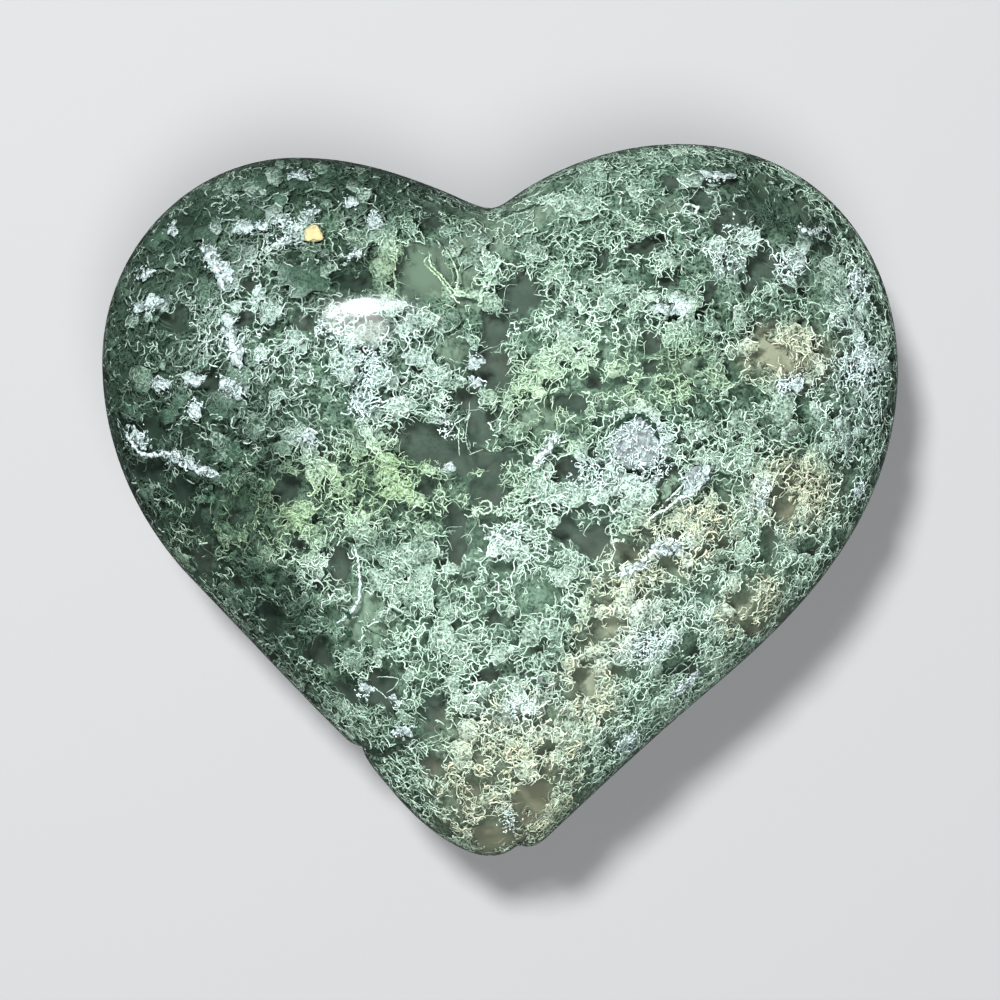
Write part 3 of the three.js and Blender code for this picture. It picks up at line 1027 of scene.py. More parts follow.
class Tree(Nodes):
    """Writes a Geometry Nodes tree that takes a geometry, a material and other named inputs."""

    def __init__(self, name, *inputs):
        super().__init__(bpy.data.node_groups.new(name, "GeometryNodeTree"))
        interface = self.tree.interface
        for key in ("Geometry", *inputs, "Material"):
            kind = INPUT_KINDS.get(key, "Float")
            interface.new_socket(key, in_out="INPUT", socket_type="NodeSocket" + kind)
        interface.new_socket("Geometry", in_out="OUTPUT", socket_type="NodeSocketGeometry")
        self.given = self.add("NodeGroupInput").outputs

    def own(self, name):
        """Returns the position, normal or index of each point."""
        return self.get(name, "GeometryNodeInput" + name)

    def named(self, name, kind="FLOAT"):
        """Returns a stored attribute."""
        return self.get("Attribute", "GeometryNodeInputNamedAttribute", {"Name": name}, data_type=kind)

    def stored(self, geometry, name, value, kind="FLOAT"):
        """Stores a value on points and returns the geometry."""
        inputs = {"Geometry": geometry, "Name": name, "Value": value}
        return self.get("Geometry", "GeometryNodeStoreNamedAttribute", inputs, data_type=kind, domain="POINT")

    def sampled(self, value, place, kind="FLOAT"):
        """Returns a value of the tree's own geometry, at its point nearest to a place."""
        inputs = {"Mesh": self.given["Geometry"], "Value": value, "Sample Position": place}
        return self.get("Value", "GeometryNodeSampleNearestSurface", inputs, data_type=kind)

    def random(self, seed, low=0.0, high=1.0):
        """Returns a random number for each point."""
        node = self.add("FunctionNodeRandomValue", {"ID": self.own("Index"), "Seed": seed}, data_type="FLOAT")
        limits = [socket for socket in node.inputs if socket.enabled and socket.name in {"Min", "Max"}]
        for limit, socket in zip((low, high), limits):
            self.put(limit, socket)
        return [socket for socket in node.outputs if socket.enabled][0]

    def spread(self, density):
        """Adds a node that spreads points over the tree's geometry."""
        inputs = {"Mesh": self.given["Geometry"], "Density": density, "Seed": self.given["Seed"]}
        return self.add("GeometryNodeDistributePointsOnFaces", inputs)

    def moved(self, geometry, **shift):
        """Returns geometry moved to a position or by an offset."""
        return self.get("Geometry", "GeometryNodeSetPosition", {"Geometry": geometry, **shift})

    def realized(self, geometry):
        """Returns geometry with its instances made real."""
        return self.get("Geometry", "GeometryNodeRealizeInstances", {"Geometry": geometry})

    def ends(self):
        """Returns how near each point of a line is to either end, from 0 in the middle to 1."""
        along = self.get("Factor", "GeometryNodeSplineParameter")
        return self.math("ABSOLUTE", self.less(self.product(along, 2.0), 1.0))

    def tubes(self, lines, sides, radius):
        """Returns closed tubes along the edges of a mesh."""
        paths = self.get("Curve", "GeometryNodeMeshToCurve", {"Mesh": lines})
        section = self.get("Curve", "GeometryNodeCurvePrimitiveCircle", {"Resolution": sides, "Radius": 1.0})
        inputs = {"Curve": paths, "Profile Curve": section, "Scale": radius, "Fill Caps": True}
        return self.get("Mesh", "GeometryNodeCurveToMesh", inputs)

    def finish(self, geometry, smooth=True):
        """Makes geometry of the given material the tree's result, and returns the tree."""
        if smooth:
            geometry = self.get("Geometry", "GeometryNodeSetShadeSmooth", {"Geometry": geometry})
        inputs = {"Geometry": self.realized(geometry), "Material": self.given["Material"]}
        self.add("NodeGroupOutput", {"Geometry": self.get("Geometry", "GeometryNodeSetMaterial", inputs)})
        return self.tree


def strand_tree():
    """Builds the Geometry Nodes tree that grows curled strands under a skin.

    Points are spread over the skin by how much of the matter lies there. From each one a strand wanders along
    the skin in small steps whose direction follows noise, sinks to its own depth, and is left out where it
    would cross a window.
    """
    sizes = ("Step", "Curl", "Kinks", "Shake", "Radius", "Shallow", "Deep", "Ripple", "Edge", "Side")
    tree = Tree("curled_strands", "Matter", "Strands per Area", "Steps", *sizes, "Seed")
    given = tree.given
    position, normal, index = tree.own("Position"), tree.own("Normal"), tree.own("Index")

    matter = tree.named(given["Matter"])
    height = tree.get("Z", "ShaderNodeSeparateXYZ", {0: position})
    wanted = tree.ramp(tree.product(tree.less(height, GIRDLE), given["Side"]), -0.5 * MM, 0.5 * MM)
    points = tree.spread(tree.product(matter, given["Strands per Area"], wanted)).outputs["Points"]
    for shift, name in enumerate(("draw", "level"), 1):
        points = tree.stored(points, name, tree.random(tree.math("ADD", given["Seed"], shift)))
    points = tree.stored(points, "start", position, "FLOAT_VECTOR")
    points = tree.stored(points, "strand", index, "INT")

    line = tree.get("Mesh", "GeometryNodeMeshLine", {"Count": given["Steps"], "Offset": (0, 0, 0)})
    inputs = {"Points": points, "Instance": tree.stored(line, "stage", index)}
    grown = tree.realized(tree.get("Instances", "GeometryNodeInstanceOnPoints", inputs))

    stage, start = tree.named("stage"), tree.named("start", "FLOAT_VECTOR")
    apart = tree.scaled((3.1, 5.3, 7.7), tree.product(tree.named("draw"), 41.0))
    shifted = tree.vector("ADD", tree.scaled(start, 140.0), apart)
    inputs = {"Vector": shifted, "W": tree.product(stage, given["Curl"]), "Scale": 1.0}
    inputs |= {"Detail": given["Kinks"], "Roughness": 0.6}
    heading = tree.centred(tree.get("Color", "ShaderNodeTexNoise", inputs, noise_dimensions="4D"))
    upright = tree.sampled(normal, start, "FLOAT_VECTOR")
    upright = tree.scaled(upright, tree.vector("DOT_PRODUCT", heading, upright))
    heading = tree.vector("NORMALIZE", tree.vector("SUBTRACT", heading, upright))
    inputs = {"Value": tree.scaled(heading, given["Step"]), "Group ID": tree.named("strand", "INT")}
    steps = tree.get("Trailing", "GeometryNodeAccumulateField", inputs, data_type="FLOAT_VECTOR")
    walked = tree.vector("ADD", start, steps)

    inputs = {"Vector": tree.scaled(shifted, 1.7), "W": tree.product(stage, 0.45)}
    inputs |= {"Scale": 1.0, "Detail": 0.0}
    wave = tree.get("Fac", "ShaderNodeTexNoise", inputs, noise_dimensions="4D")
    wave = tree.product(tree.less(wave, 0.5), given["Ripple"])
    level = tree.between(tree.named("level"), given["Shallow"], given["Deep"])
    depth = tree.math("MAXIMUM", tree.math("ADD", level, wave), tree.product(given["Radius"], STRAND_COVER))
    jolt = tree.get("Color", "ShaderNodeTexWhiteNoise", {"Vector": tree.scaled(walked, 1e5)})
    jolt = tree.scaled(tree.centred(jolt), given["Shake"])
    outward = tree.scaled(tree.sampled(normal, walked, "FLOAT_VECTOR"), depth)
    place = tree.vector("SUBTRACT", tree.sampled(position, walked, "FLOAT_VECTOR"), outward)
    place = tree.vector("ADD", place, jolt)

    grown = tree.stored(grown, "depth", tree.math("DIVIDE", depth, DEEPEST))
    for name, source in FACTS.items():
        grown = tree.stored(grown, name, tree.sampled(tree.named(source), walked))
    grown = tree.moved(tree.stored(grown, "here", tree.sampled(matter, walked)), Position=place)
    inputs = {0: tree.named("here"), 1: given["Edge"]}
    crossing = tree.get("Result", "FunctionNodeCompare", inputs, data_type="FLOAT", operation="LESS_THAN")
    grown = tree.get("Geometry", "GeometryNodeDeleteGeometry", {"Geometry": grown, "Selection": crossing})
    return with_tubes(tree, grown, end_share=0.45)


def with_tubes(tree, lines, end_share):
    """Ends a tree: the edges of a mesh become closed tubes, thinner or thicker at their ends."""
    taper = tree.ramp(tree.ends(), 0.3, 1.0, 1.0, end_share)
    build = tree.between(tree.named("draw"), 0.6, 1.3)
    swell = tree.get("Value", "ShaderNodeTexWhiteNoise", {"Vector": tree.scaled(tree.own("Position"), 1e5)})
    build = tree.product(build, tree.math("ADD", swell, 0.5))
    return tree.finish(tree.tubes(lines, 3, tree.product(taper, build, tree.given["Radius"])))


def tube_tree():
    """Builds the Geometry Nodes tree that turns the edges of a mesh into closed tubes."""
    tree = Tree("joined_strands", "Radius")
    return with_tubes(tree, tree.given["Geometry"], end_share=1.35)


def grain_tree():
    """Builds the Geometry Nodes tree that spreads small faceted crystals where their matter lies."""
    tree = Tree("crystal_grains", "Matter", "Grains per Area", "Size", "Shallow", "Deep", "Seed")
    given = tree.given
    spread = tree.spread(tree.product(tree.named(given["Matter"]), given["Grains per Area"]))
    depth = tree.between(tree.random(31), given["Shallow"], given["Deep"])
    points = tree.stored(spread.outputs["Points"], "draw", tree.random(32))
    points = tree.stored(points, "depth", tree.math("DIVIDE", depth, DEEPEST))
    sunk = tree.scaled(spread.outputs["Normal"], tree.product(depth, -1.0))
    turns = [tree.random(seed, 0.0, 6.28) for seed in (33, 34, 35)]
    lengths = [tree.product(tree.random(seed, 0.5, 1.5), given["Size"]) for seed in (36, 37, 38)]
    inputs = {
        "Points": tree.moved(points, Offset=sunk),
        "Instance": tree.get("Mesh", "GeometryNodeMeshIcoSphere", {"Radius": 1.0, "Subdivisions": 1}),
        "Rotation": tree.joined(*turns),
        "Scale": tree.joined(*lengths),
    }
    return tree.finish(tree.get("Instances", "GeometryNodeInstanceOnPoints", inputs), smooth=False)


def vein_tree():
    """Builds the Geometry Nodes tree that turns polylines into thick, lumpy, closed veins."""
    tree = Tree("lumpy_veins", "Lumps")
    radius = tree.named("radius")
    taper = tree.product(tree.ramp(tree.ends(), 0.75, 1.0, 1.0, 0.3), radius)
    tubes = tree.tubes(tree.given["Geometry"], 8, taper)
    inputs = {"Vector": tree.own("Position"), "Scale": 3200.0, "Detail": 2.0}
    bumps = tree.less(tree.get("Fac", "ShaderNodeTexNoise", inputs), 0.5)
    push = tree.product(bumps, tree.given["Lumps"], radius)
    return tree.finish(tree.moved(tubes, Offset=tree.scaled(tree.own("Normal"), push)))


def smooth_way(points):
    """Returns points along a smooth curve through the given ones, all in millimetres."""
    knots = np.array([points[0], *points, points[-1]], float)
    spots = []
    for before, start, end, after in zip(knots, knots[1:], knots[2:], knots[3:]):
        count = max(2, round(float(np.hypot(*(end - start))) / VEIN_SPACING))
        t = (np.arange(count) / count)[:, None]
        bend = 2 * before - 5 * start + 4 * end - after
        twist = -before + 3 * start - 3 * end + after
        spots.append(start + 0.5 * t * (end - before) + 0.5 * t**2 * bend + 0.5 * t**3 * twist)
    return np.concatenate([*spots, [points[-1]]])


def search_tree(mesh):
    """Returns a mesh's faces as a tree that rays are cast at."""
    return BVHTree.FromPolygons([v.co for v in mesh.vertices], [p.vertices for p in mesh.polygons])


class Skin:
    """The stone's surface, which gives the point, normal and kinds of matter under a place."""

    def __init__(self, mesh, girdle):
        self.mesh = mesh
        self.girdle = girdle
        self.tree = search_tree(mesh)
        self.values = {name: recall(mesh, name) for name in ("moss", *FACTS.values())}

    def met(self, start, direction):
        """Returns the point and normal where a ray meets the surface, and the index of a mesh point there."""
        place, normal, face, _ = self.tree.ray_cast(start, direction)
        return None if place is None else (place, normal, self.mesh.polygons[face].vertices[0])

    def below(self, x, y):
        """Returns what lies straight under a place, in metres, or None where no stone does."""
        return self.met(Vector((x, y, OVERHEAD)), Vector((0, 0, -1)))

    def seen(self, x, y):
        """Returns what the camera sees at a place, in metres at the level of the widest line."""
        eye = Vector((0, 0, self.girdle + VIEW_HEIGHT * MM))
        found = self.met(eye, Vector((x, y, self.girdle)) - eye)
        if found is None:
            raise RuntimeError(f"{x}, {y} is off the stone")
        return found

    def face(self):
        """Returns the facets above the widest line that the nets lie under."""
        return [p for p in self.mesh.polygons if p.center.z > NET_HEIGHT]

    def scattered(self, number, random):
        """Returns places in metres, spread evenly over the face's surface."""
        faces = self.face()
        areas = np.cumsum([p.area for p in faces])
        picks = np.searchsorted(areas, random.random(number) * areas[-1])
        spots = []
        for pick, part, other in zip(picks, random.random(number), random.random(number)):
            corners = [self.mesh.vertices[v].co for v in faces[pick].vertices]
            upper = corners[0].lerp(corners[1], part)
            lower = corners[-1].lerp(corners[2], part)
            spots.append(upper.lerp(lower, other).xy)
        return spots

    def store_facts(self, mesh, facts):
        """Stores each point's tint and depth on a mesh, and the skin's values at the skin point beside it."""
        draws, depths, near = (np.array(column) for column in zip(*facts))
        store(mesh, "draw", draws)
        store(mesh, "depth", depths / DEEPEST)
        for name, source in FACTS.items():
            store(mesh, name, self.values[source][near])

    def lines(self, name, spots, edges, facts):
        """Returns a mesh of lines with their facts."""
        mesh = bpy.data.meshes.new(name)
        mesh.from_pydata(spots, edges, [])
        self.store_facts(mesh, facts)
        return mesh


def vein_lines(name, skin, veins):
    """Returns a mesh of lines under the skin along veins, with their radius, tint, depth and light."""
    random = np.random.default_rng(len(name))
    spots, edges, facts, radii = [], [], [], []
    for vein in veins:
        way = smooth_way(vein.way)
        way = way + (random.random(way.shape) - 0.5) * 1.1 * vein.radius
        draw = random.random()
        first = len(spots)
        for flat in way * MM:
            place, normal, near = skin.seen(*flat)
            depth = max(vein.depth + 0.35 * random.random(), vein.radius * VEIN_COVER) * MM
            spots.append(place - normal * depth)
            facts.append((draw, depth, near))
            radii.append(vein.radius * MM * (0.55 + 0.8 * random.random()))
        edges += [(i, i + 1) for i in range(first, len(spots) - 1)]
    mesh = skin.lines(name, spots, edges, facts)
    store(mesh, "radius", radii)
    return mesh


def lumps_mesh(name, skin, lumps):
    """Returns a mesh of rounded lumps under the skin."""
    shape = bmesh.new()
    for lump in lumps:
        place, normal, _ = skin.seen(*(Vector(lump.place) * MM))
        upright = Vector((0, 0, 1)).rotation_difference(normal)
        turn = Matrix.Rotation(math.radians(lump.turn), 3, "Z")
        made = bmesh.ops.create_icosphere(shape, subdivisions=4, radius=1.0)
        shift = Vector(lump.place).to_3d()
        for vert in made["verts"]:
            spot = Vector([s * half for s, half in zip(vert.co, lump.half)])
            spot.y = max(spot.y, lump.flat_below * lump.half[1])
            tear = noise.noise_vector(spot * 1.8 + shift) + 0.5 * noise.noise_vector(spot * 5.0 + shift)
            spot += lump.ragged * Vector((tear.x, tear.y, 0.4 * tear.z))
            vert.co = place - normal * lump.depth * MM + upright @ (turn @ spot) * MM
    return shaped_mesh(name, shape)


class Net:
    """A net of joined strands just under the skin: the walls between irregular cells of a layer."""

    def __init__(self, skin, seed, cell, shallow, deep):
        random = np.random.default_rng(seed)
        self.skin = skin
        area = sum(p.area for p in skin.face())
        seeds = skin.scattered(int(area / cell**2), random)
        corners, _, triangles, _, _, _ = geometry.delaunay_2d_cdt(seeds, [], [], 0, 1e-9)
        self.joints = [sum((corners[c] for c in triangle), Vector((0, 0))) / 3 for triangle in triangles]
        swell = noise_at([(*joint / MM, seed) for joint in self.joints], 1.7)
        jitter = random.random(len(self.joints)) - 0.5
        self.depths = shallow + (deep - shallow) * np.clip(0.5 + 0.9 * swell + 0.5 * jitter, 0, 1)
        walls, self.cells = {}, [[] for _ in corners]
        for index, triangle in enumerate(triangles):
            for i, corner in enumerate(triangle):
                self.cells[corner].append(index)
                walls.setdefault(frozenset((corner, triangle[i - 1])), []).append(index)
        self.walls = [joints for joints in walls.values() if len(joints) == 2]
        self.centres = corners
        self.random = random

    def least_moss(self, found):
        """Returns the least moss at any of the skin's points in rows that end with a point's index."""
        return min(self.skin.values["moss"][row[-1]] for row in found)

    def wall(self, first, last, radius):
        """Returns points along a curved wall, with their depths and skin points, up to the stone's edge."""
        start, end = self.joints[first], self.joints[last]
        side = (end - start).orthogonal()
        line = []
        for t, bend in WALL_BENDS:
            found = self.skin.below(*(start.lerp(end, t) + side * bend * (self.random.random() * 2 - 0.6)))
            if found is None:
                break
            place, normal, near = found
            depth = self.depths[first] * (1 - t) + self.depths[last] * t
            depth = max(depth + (self.random.random() - 0.5) * WALL_STRAY, STRAND_COVER * radius)
            line.append((place - normal * depth, depth, near))
        return line

    def strands(self, name, radius):
        """Returns a mesh of lines along the walls, with their tint, depth and kinds of matter."""
        spots, edges, facts = [], [], []
        for first, last in self.walls:
            draw, keep = self.random.random(2)
            line = self.wall(first, last, radius)
            length = (self.joints[last] - self.joints[first]).length
            if len(line) < len(WALL_BENDS) or length > LONGEST_WALL:
                continue
            moss = self.least_moss(line)
            if moss < LEAST_MOSS or keep > WALL_SHARE * min(1.0, 0.45 + moss):
                continue
            edges += [(len(spots) + i, len(spots) + i + 1) for i in range(len(line) - 1)]
            spots += [place for place, _, _ in line]
            facts += [(draw, depth, near) for _, depth, near in line]
        return self.skin.lines(name, spots, edges, facts)

    def films(self, name):
        """Returns a mesh of thin closed films that span some of the cells."""
        shape = bmesh.new()
        facts = []
        clusters = noise_at([(*centre / MM, 5.0) for centre in self.centres], 2.4)
        for centre, cell, cluster in zip(self.centres, self.cells, clusters):
            draw = self.random.random()
            if len(cell) < 4 or cluster + 0.3 * (draw - 0.5) < FILM_NOISE:
                continue
            angles = [math.atan2(*(self.joints[joint] - centre).yx) for joint in cell]
            ring = [joint for _, joint in sorted(zip(angles, cell))]
            found = [self.skin.below(*self.joints[joint]) for joint in ring]
            middle = self.skin.below(*centre)
            reach = max((self.joints[joint] - centre).length for joint in ring)
            if None in found or middle is None or reach > WIDEST_FILM or self.least_moss(found) < LEAST_MOSS:
                continue
            sunk = float(np.mean([self.depths[joint] for joint in ring])) + FILM_SAG
            rows = [(*spot, self.depths[joint]) for spot, joint in zip(found, ring)] + [(*middle, sunk)]
            layers = []
            for extra in (0.0, FILM_THICKNESS):
                spots = [place - normal * (depth + extra) for place, normal, _, depth in rows]
                layers.append([shape.verts.new(spot) for spot in spots])
                facts += [(draw, depth, near) for _, _, near, depth in rows]
            upper, lower = layers
            for a in range(len(ring)):
                b = (a + 1) % len(ring)
                shape.faces.new((upper[a], upper[b], upper[-1]))
                shape.faces.new((lower[b], lower[a], lower[-1]))
                shape.faces.new((upper[b], upper[a], lower[a], lower[b]))
        mesh = shaped_mesh(name, shape)
        self.skin.store_facts(mesh, facts)
        return mesh


def grown_piece(name, tree, skin, **values):
    """Runs a tree on a mesh and keeps its result as a piece with a plain mesh."""
    grower = add_object(name + "_grower", skin)
    modifier = grower.modifiers.new("grow", "NODES")
    modifier.node_group = tree
    sockets = {item.name: item.identifier for item in tree.interface.items_tree if item.in_out == "INPUT"}
    for key, value in values.items():
        modifier[sockets[key.replace("_", " ")]] = value
    mesh = final_mesh(grower)
    mesh.name = name
    for attribute in [a.name for a in mesh.attributes if a.name in SPENT]:
        mesh.attributes.remove(mesh.attributes[attribute])
    if not mesh.polygons:
        raise RuntimeError(f"{name} has no faces")
    return add_piece(name, mesh)


def crevice_cutter(mesh):
    """Returns an object of closed round tubes along the crevices, to be cut out of the stone's mesh."""
    skin = search_tree(mesh)
    curve = bpy.data.curves.new("crevices", "CURVE")
    curve.dimensions = "3D"
    curve.bevel_depth = MM
    curve.bevel_resolution = 2
    curve.use_fill_caps = True
    for radius, lift_outside, lift_inside, points in CREVICES:
        way = smooth_way(points)
        spline = curve.splines.new("POLY")
        spline.points.add(len(way) - 1)
        lifts = np.linspace(lift_outside, lift_inside, len(way))
        for point, (x, y), lift in zip(spline.points, way, lifts):
            place, _, _, _ = skin.ray_cast(Vector((x, y, OVERHEAD / MM)) * MM, Vector((0, 0, -1)))
            height = EDGE_HEIGHT if place is None else max(place.z / MM, EDGE_HEIGHT)
            point.co = (x * MM, y * MM, (height + lift) * MM, 1.0)
            point.radius = radius
    return add_object("crevices", final_mesh(add_object("crevices", curve)))


def with_crevices(mesh):
    """Returns the stone's mesh with the crevices cut out of it."""
    cutter = crevice_cutter(mesh)
    blank = add_object("blank", mesh)
    modifier = blank.modifiers.new("cut", "BOOLEAN")
    modifier.operation = "DIFFERENCE"
    modifier.solver = "EXACT"
    modifier.object = cutter
    cut = final_mesh(blank)
    bpy.data.objects.remove(cutter)
    return cut


class AGATE_OT_clear_stone(bpy.types.Operator):
    """Make the clear polished stone"""

    bl_idname = "agate.clear_stone"
    bl_label = "Clear Stone"

    def execute(self, context):
        mesh = with_crevices(heart_mesh("clear_stone", context.scene.agate_stone))
        stone = add_piece("clear_stone", mesh, clear_material())
        stone.visible_shadow = False
        stone.visible_diffuse = False
        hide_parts(NODE)
        return {"FINISHED"}


class AGATE_OT_cloudy_depths(bpy.types.Operator):
    """Make the cloudy matter deep in the stone"""

    bl_idname = "agate.cloudy_depths"
    bl_label = "Cloudy Depths"

    def execute(self, context):
        sizes = context.scene.agate_stone
        mesh = heart_mesh("cloudy_depths", sizes, CLOUD_INSET, CLOUD_RIM_INSET)
        store_zones(mesh, sizes)
        spots = mesh_spots(mesh)
        upper = np.clip((spots[:, 2] - sizes.girdle) / FULL_EFFECT, 0, 1)
        spots[:, 2] -= upper * recall(mesh, "wide") * WINDOW_DEPTH
        spots[:, 2] += upper * recall(mesh, "mist") * MIST_RISE
        mesh.vertices.foreach_set("co", spots.ravel())
        mesh.update()
        add_piece("cloudy_depths", mesh, cloud_material(context.scene.agate_colours))
        return {"FINISHED"}


class Strand(NamedTuple):
    """A kind of strand. Lengths are in millimetres; number is against the usual one."""

    name: str
    matter: str
    depths: tuple
    number: float
    radius: float = 0.064
    step: float = 0.27
    steps: int = 8
    curl: float = 0.26
    kinks: float = 1.7
    shake: float = 0.13
    edge: float = 0.2
    side: int = 1


STRANDS = (
    Strand("moss_upper", "moss", (0.12, 0.6), 1.4, radius=0.056),
    Strand("moss_middle", "moss", (0.35, 1.2), 1.3, curl=0.3),
    Strand("moss_lower", "moss", (0.8, 1.8), 0.95, radius=0.08, curl=0.32, kinks=0.5),
    Strand("moss_back", "moss", (0.12, 0.8), 0.92, radius=0.075, side=-1),
    Strand("moss_back_lower", "moss", (0.7, 1.7), 0.5, radius=0.11, curl=0.34, kinks=0.5, side=-1),
    Strand(
        "threads",
        "hanging",
        (0.5, 1.7),
        0.9,
        radius=0.045,
        step=0.34,
        steps=12,
        curl=0.09,
        shake=0.0,
        edge=0.02,
    ),
    Strand("frost", "frost", (0.12, 0.6), 4.0, radius=0.07, step=0.2, steps=6, curl=0.5),
    Strand("dry_moss", "dry_moss", (0.15, 1.2), 2.0, radius=0.1, curl=0.3, edge=0.25),
)


class AGATE_OT_moss(bpy.types.Operator):
    """Grow the moss in layers under the polished surface"""

    bl_idname = "agate.moss"
    bl_label = "Moss"

    def execute(self, context):
        scene = context.scene
        sizes, moss, colours = scene.agate_stone, scene.agate_moss, scene.agate_colours
        skin = stone_skin(sizes)
        tree = strand_tree()
        pale, mint, tan, white = colours.pale, colours.mint, colours.tan, colours.frost
        green = moss_material("moss", colours, pale, mint)
        materials = {
            "frost": moss_material("frost", colours, times(white, 1.2), times(white, 0.7), dimming=0.3),
            "dry_moss": moss_material("dry_moss", colours, times(tan, 1.05), times(tan, 0.65)),
        }
        for seed, strand in enumerate(STRANDS, 1):
            grown_piece(
                strand.name,
                tree,
                skin,
                Matter=strand.matter,
                Strands_per_Area=moss.number * strand.number,
                Steps=strand.steps,
                Step=strand.step * MM,
                Curl=strand.curl,
                Kinks=strand.kinks,
                Shake=strand.shake * MM,
                Radius=strand.radius * MM,
                Shallow=strand.depths[0] * MM,
                Deep=strand.depths[1] * MM,
                Ripple=RIPPLE,
                Edge=strand.edge,
                Side=float(strand.side),
                Seed=seed,
                Material=materials.get(strand.name, green),
            )

        surface = Skin(skin, sizes.girdle)
        tubes = tube_tree()
        film = moss_material("film", colours, times(pale, 0.55), times(mint, 0.5), 0.9)
        for name, seed, shallow, deepest in NETS:
            net = Net(surface, seed, moss.cell, shallow * MM, deepest * MM)
            lines = net.strands(name + "_lines", moss.joined_radius)
            grown_piece(name, tubes, lines, Radius=moss.joined_radius, Material=green)
            add_piece(name + "_films", net.films(name + "_films"), film)
        return {"FINISHED"}


class AGATE_OT_crystals(bpy.types.Operator):
    """Make the frost, the veins and the lumps of other matter"""

    bl_idname = "agate.crystals"
    bl_label = "Crystals and Veins"

    def execute(self, context):
        scene = context.scene
        sizes, moss, colours = scene.agate_stone, scene.agate_moss, scene.agate_colours
        mesh = stone_skin(sizes)
        skin = Skin(mesh, sizes.girdle)
        pale, deep, white, mist = colours.pale, colours.deep, colours.frost, colours.mist
        bright = times(white, 1.2)
        grown_piece(
            "frost_grains",
            grain_tree(),
            mesh,
            Matter="frost",
            Grains_per_Area=moss.grains,
            Size=moss.grain_size,
            Shallow=0.16 * MM,
            Deep=0.7 * MM,
            Seed=11,
            Material=moss_material("frost_grain", colours, times(white, 0.95), times(white, 0.6), 0.0, 0.4),
        )
        tree = vein_tree()
        looks = {
            "frost": (moss_material("frost_vein", colours, bright, times(white, 0.8), 0.62, 0.3), 2.2),
            "moss": (moss_material("moss_vein", colours, times(pale, 0.8), colours.mint, 0.4), 1.2),
            "pale": (moss_material("pale_vein", colours, times(pale, 0.85), times(pale, 0.6), 0.3), 1.2),
            "dark": (lump_material("dark_vein", times(deep, 0.5), deep), 0.5),
        }
        for matter, (material, lumps) in looks.items():
            lines = vein_lines(matter, skin, [vein for vein in VEINS if vein.matter == matter])
            grown_piece(matter + "_veins", tree, lines, Lumps=lumps, Material=material)
        flakes = [
            Lump("frost", (x, y), (length, 0.8 * width, 0.12), turn, 0.42, ragged=0.75)
            for x, y, length, width, turn in FROSTS
            if width < WIDEST_FLAKE
        ]
        bodies = {
            "frost": looks["frost"][0],
            "cream": lump_material("cream", colours.cream, times(colours.cream, 1.18)),
            "druse": lump_material("druse", times(white, 0.13), times(white, 0.38)),
            "mist": lump_material("misty_lump", times(mist, 0.9), times(mist, 1.4)),
            "dark": lump_material("dark_lump", times(deep, 0.5), deep),
        }
        for matter, material in bodies.items():
            chosen = [lump for lump in (*LUMPS, *flakes) if lump.matter == matter]
            add_piece(matter + "_lumps", lumps_mesh(matter + "_lumps", skin, chosen), material)
        return {"FINISHED"}


def soften_glint(lamp):
    """Makes the mirrored lamp brightest in its middle, with a bluish halo that fades to its rim."""
    lamp.use_nodes = True
    nodes = Nodes(lamp.node_tree)
    place = nodes.get("Parametric", "ShaderNodeNewGeometry")
    flat = nodes.vector("MULTIPLY", nodes.vector("SUBTRACT", place, (0.5, 0.5, 0.0)), (1.0, 1.0, 0.0))
    along = nodes.get("X", "ShaderNodeSeparateXYZ", {0: place})
    narrowed = nodes.joined(1.0, nodes.ramp(along, 0.2, 0.6, 1.9, 1.0))
    reach = nodes.vector("LENGTH", nodes.vector("MULTIPLY", flat, narrowed))
    core = nodes.product(nodes.ramp(reach, 0.17, 0.3, 1.0, 0.0), nodes.ramp(along, 0.42, 0.68, 0.2, 1.0))
    halo = nodes.ramp(nodes.vector("LENGTH", flat), 0.15, 0.5, 0.09, 0.0)
    emission = lamp.node_tree.nodes["Emission"]
    nodes.put((0.86, 0.95, 1.0), emission.inputs["Color"])
    nodes.put(nodes.math("ADD", core, halo), emission.inputs["Strength"])


def add_floor():
    """Adds the plain pale floor."""
    shape = bmesh.new()
    bmesh.ops.create_grid(shape, x_segments=1, y_segments=1, size=1.5)
    mesh = shaped_mesh("floor", shape)
    mesh.materials.append(Shader("pale_floor").finish((0.30, 0.305, 0.31), Roughness=0.8))
    floor = add_object("floor", mesh)
    floor.visible_glossy = False


def add_camera(stage, girdle):
    """Adds the camera, straight over the stone, and returns it."""
    data = bpy.data.cameras.new("camera")
    data.lens = data.sensor_width * stage.camera_distance / stage.frame_width
    camera = add_object("camera", data)
    camera.location = (0, 0, girdle + stage.camera_distance)
    bpy.context.scene.camera = camera
    return camera


def glint_places(eye, girdle, distance):
    """Returns where the lamp hangs that the stone mirrors, and the point that mirrors it."""
    seen = Vector((*GLINT, 0)) * MM + Vector((0, 0, girdle))
    found, spot, lean, _ = bpy.data.objects["clear_stone"].ray_cast(eye, seen - eye)
    if not found:
        raise RuntimeError("the glint's mirror point is off the stone")
    view = (eye - spot).normalized()
    mirrored = (2 * lean.dot(view) * lean - view).normalized()
    return spot + mirrored * distance, spot


def add_world():
    """Adds a dim surround that lights the stone a little and looks pale to the camera."""
    world = bpy.data.worlds.new("studio")
    world.use_nodes = True
    nodes = Nodes(world.node_tree)
    background = world.node_tree.nodes["Background"]
    nodes.put((0.75, 0.78, 0.82), background.inputs["Color"])
    seen = nodes.get("Is Camera Ray", "ShaderNodeLightPath")
    nodes.put(nodes.ramp(seen, 0.0, 1.0, 0.07, 0.75), background.inputs["Strength"])
    bpy.context.scene.world = world


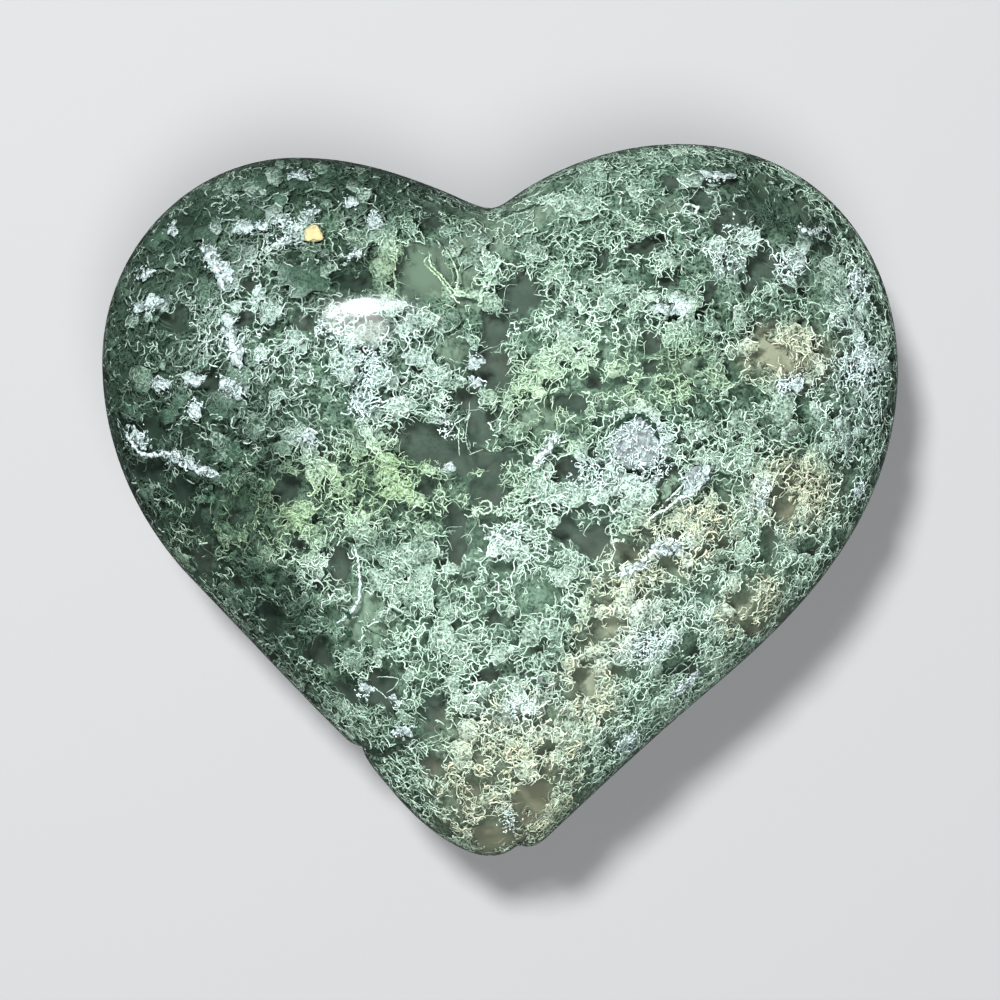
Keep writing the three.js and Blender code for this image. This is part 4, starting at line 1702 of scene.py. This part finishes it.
class AGATE_OT_stage(bpy.types.Operator):
    """Make the floor, the soft lamps and the camera"""

    bl_idname = "agate.stage"
    bl_label = "Stage"

    def execute(self, context):
        stage, girdle = context.scene.agate_stage, context.scene.agate_stone.girdle
        add_floor()
        camera = add_camera(stage, girdle)
        middle = Vector((0, 0, girdle))
        glint, spot = glint_places(camera.location, girdle, stage.glint_distance)
        lamps = (
            ("key", Vector((-0.16, 0.26, 0.62)), middle, (0.12, 0.12), stage.key_power, False),
            ("fill", Vector((0.08, -0.28, 0.85)), middle, (0.5, 0.5), stage.fill_power, False),
            ("glint", glint, spot, (0.0235, 0.0072), stage.glint_power, True),
        )
        for name, place, aim, size, power, mirrored in lamps:
            data = bpy.data.lights.new(name, "AREA")
            data.shape = "ELLIPSE"
            data.size, data.size_y = size
            data.energy = power
            lamp = add_object(name, data)
            lamp.location = place
            lamp.rotation_euler = (aim - place).to_track_quat("-Z", "Y").to_euler()
            lamp.visible_camera = False
            lamp.visible_glossy = mirrored
            lamp.visible_diffuse = not mirrored
            lamp.visible_transmission = not mirrored
        soften_glint(bpy.data.lights["glint"])
        add_world()
        context.scene.view_settings.view_transform = "Standard"
        return {"FINISHED"}


class AGATE_PT_panel(bpy.types.Panel):
    """Lists the steps that make the stone"""

    bl_idname = "AGATE_PT_panel"
    bl_label = "Moss Agate Heart"
    bl_space_type = "VIEW_3D"
    bl_region_type = "UI"
    bl_category = "Agate"

    def draw(self, context):
        for operator in OPERATORS:
            self.layout.operator(operator.bl_idname)
        for name in SETTINGS:
            settings = getattr(context.scene, name)
            for key in settings.bl_rna.properties.keys():
                if key not in {"rna_type", "name"}:
                    self.layout.prop(settings, key)


SETTINGS = {
    "agate_stone": StoneSizes,
    "agate_moss": MossSizes,
    "agate_colours": AgateColours,
    "agate_stage": StageSizes,
}
OPERATORS = (AGATE_OT_clear_stone, AGATE_OT_cloudy_depths, AGATE_OT_moss, AGATE_OT_crystals, AGATE_OT_stage)


def register():
    """Registers the settings, operators and panel."""
    for name, kind in SETTINGS.items():
        bpy.utils.register_class(kind)
        setattr(bpy.types.Scene, name, bpy.props.PointerProperty(type=kind))
    for kind in (*OPERATORS, AGATE_PT_panel):
        bpy.utils.register_class(kind)


def unregister():
    """Removes what register added."""
    for kind in reversed((*OPERATORS, AGATE_PT_panel)):
        bpy.utils.unregister_class(kind)
    for name, kind in reversed(SETTINGS.items()):
        delattr(bpy.types.Scene, name)
        bpy.utils.unregister_class(kind)


def main():
    """Builds the stone and its stage."""
    register()
    bpy.ops.agate.clear_stone()
    bpy.ops.agate.cloudy_depths()
    bpy.ops.agate.moss()
    bpy.ops.agate.crystals()
    bpy.ops.agate.stage()


if __name__ == "__main__":
    main()
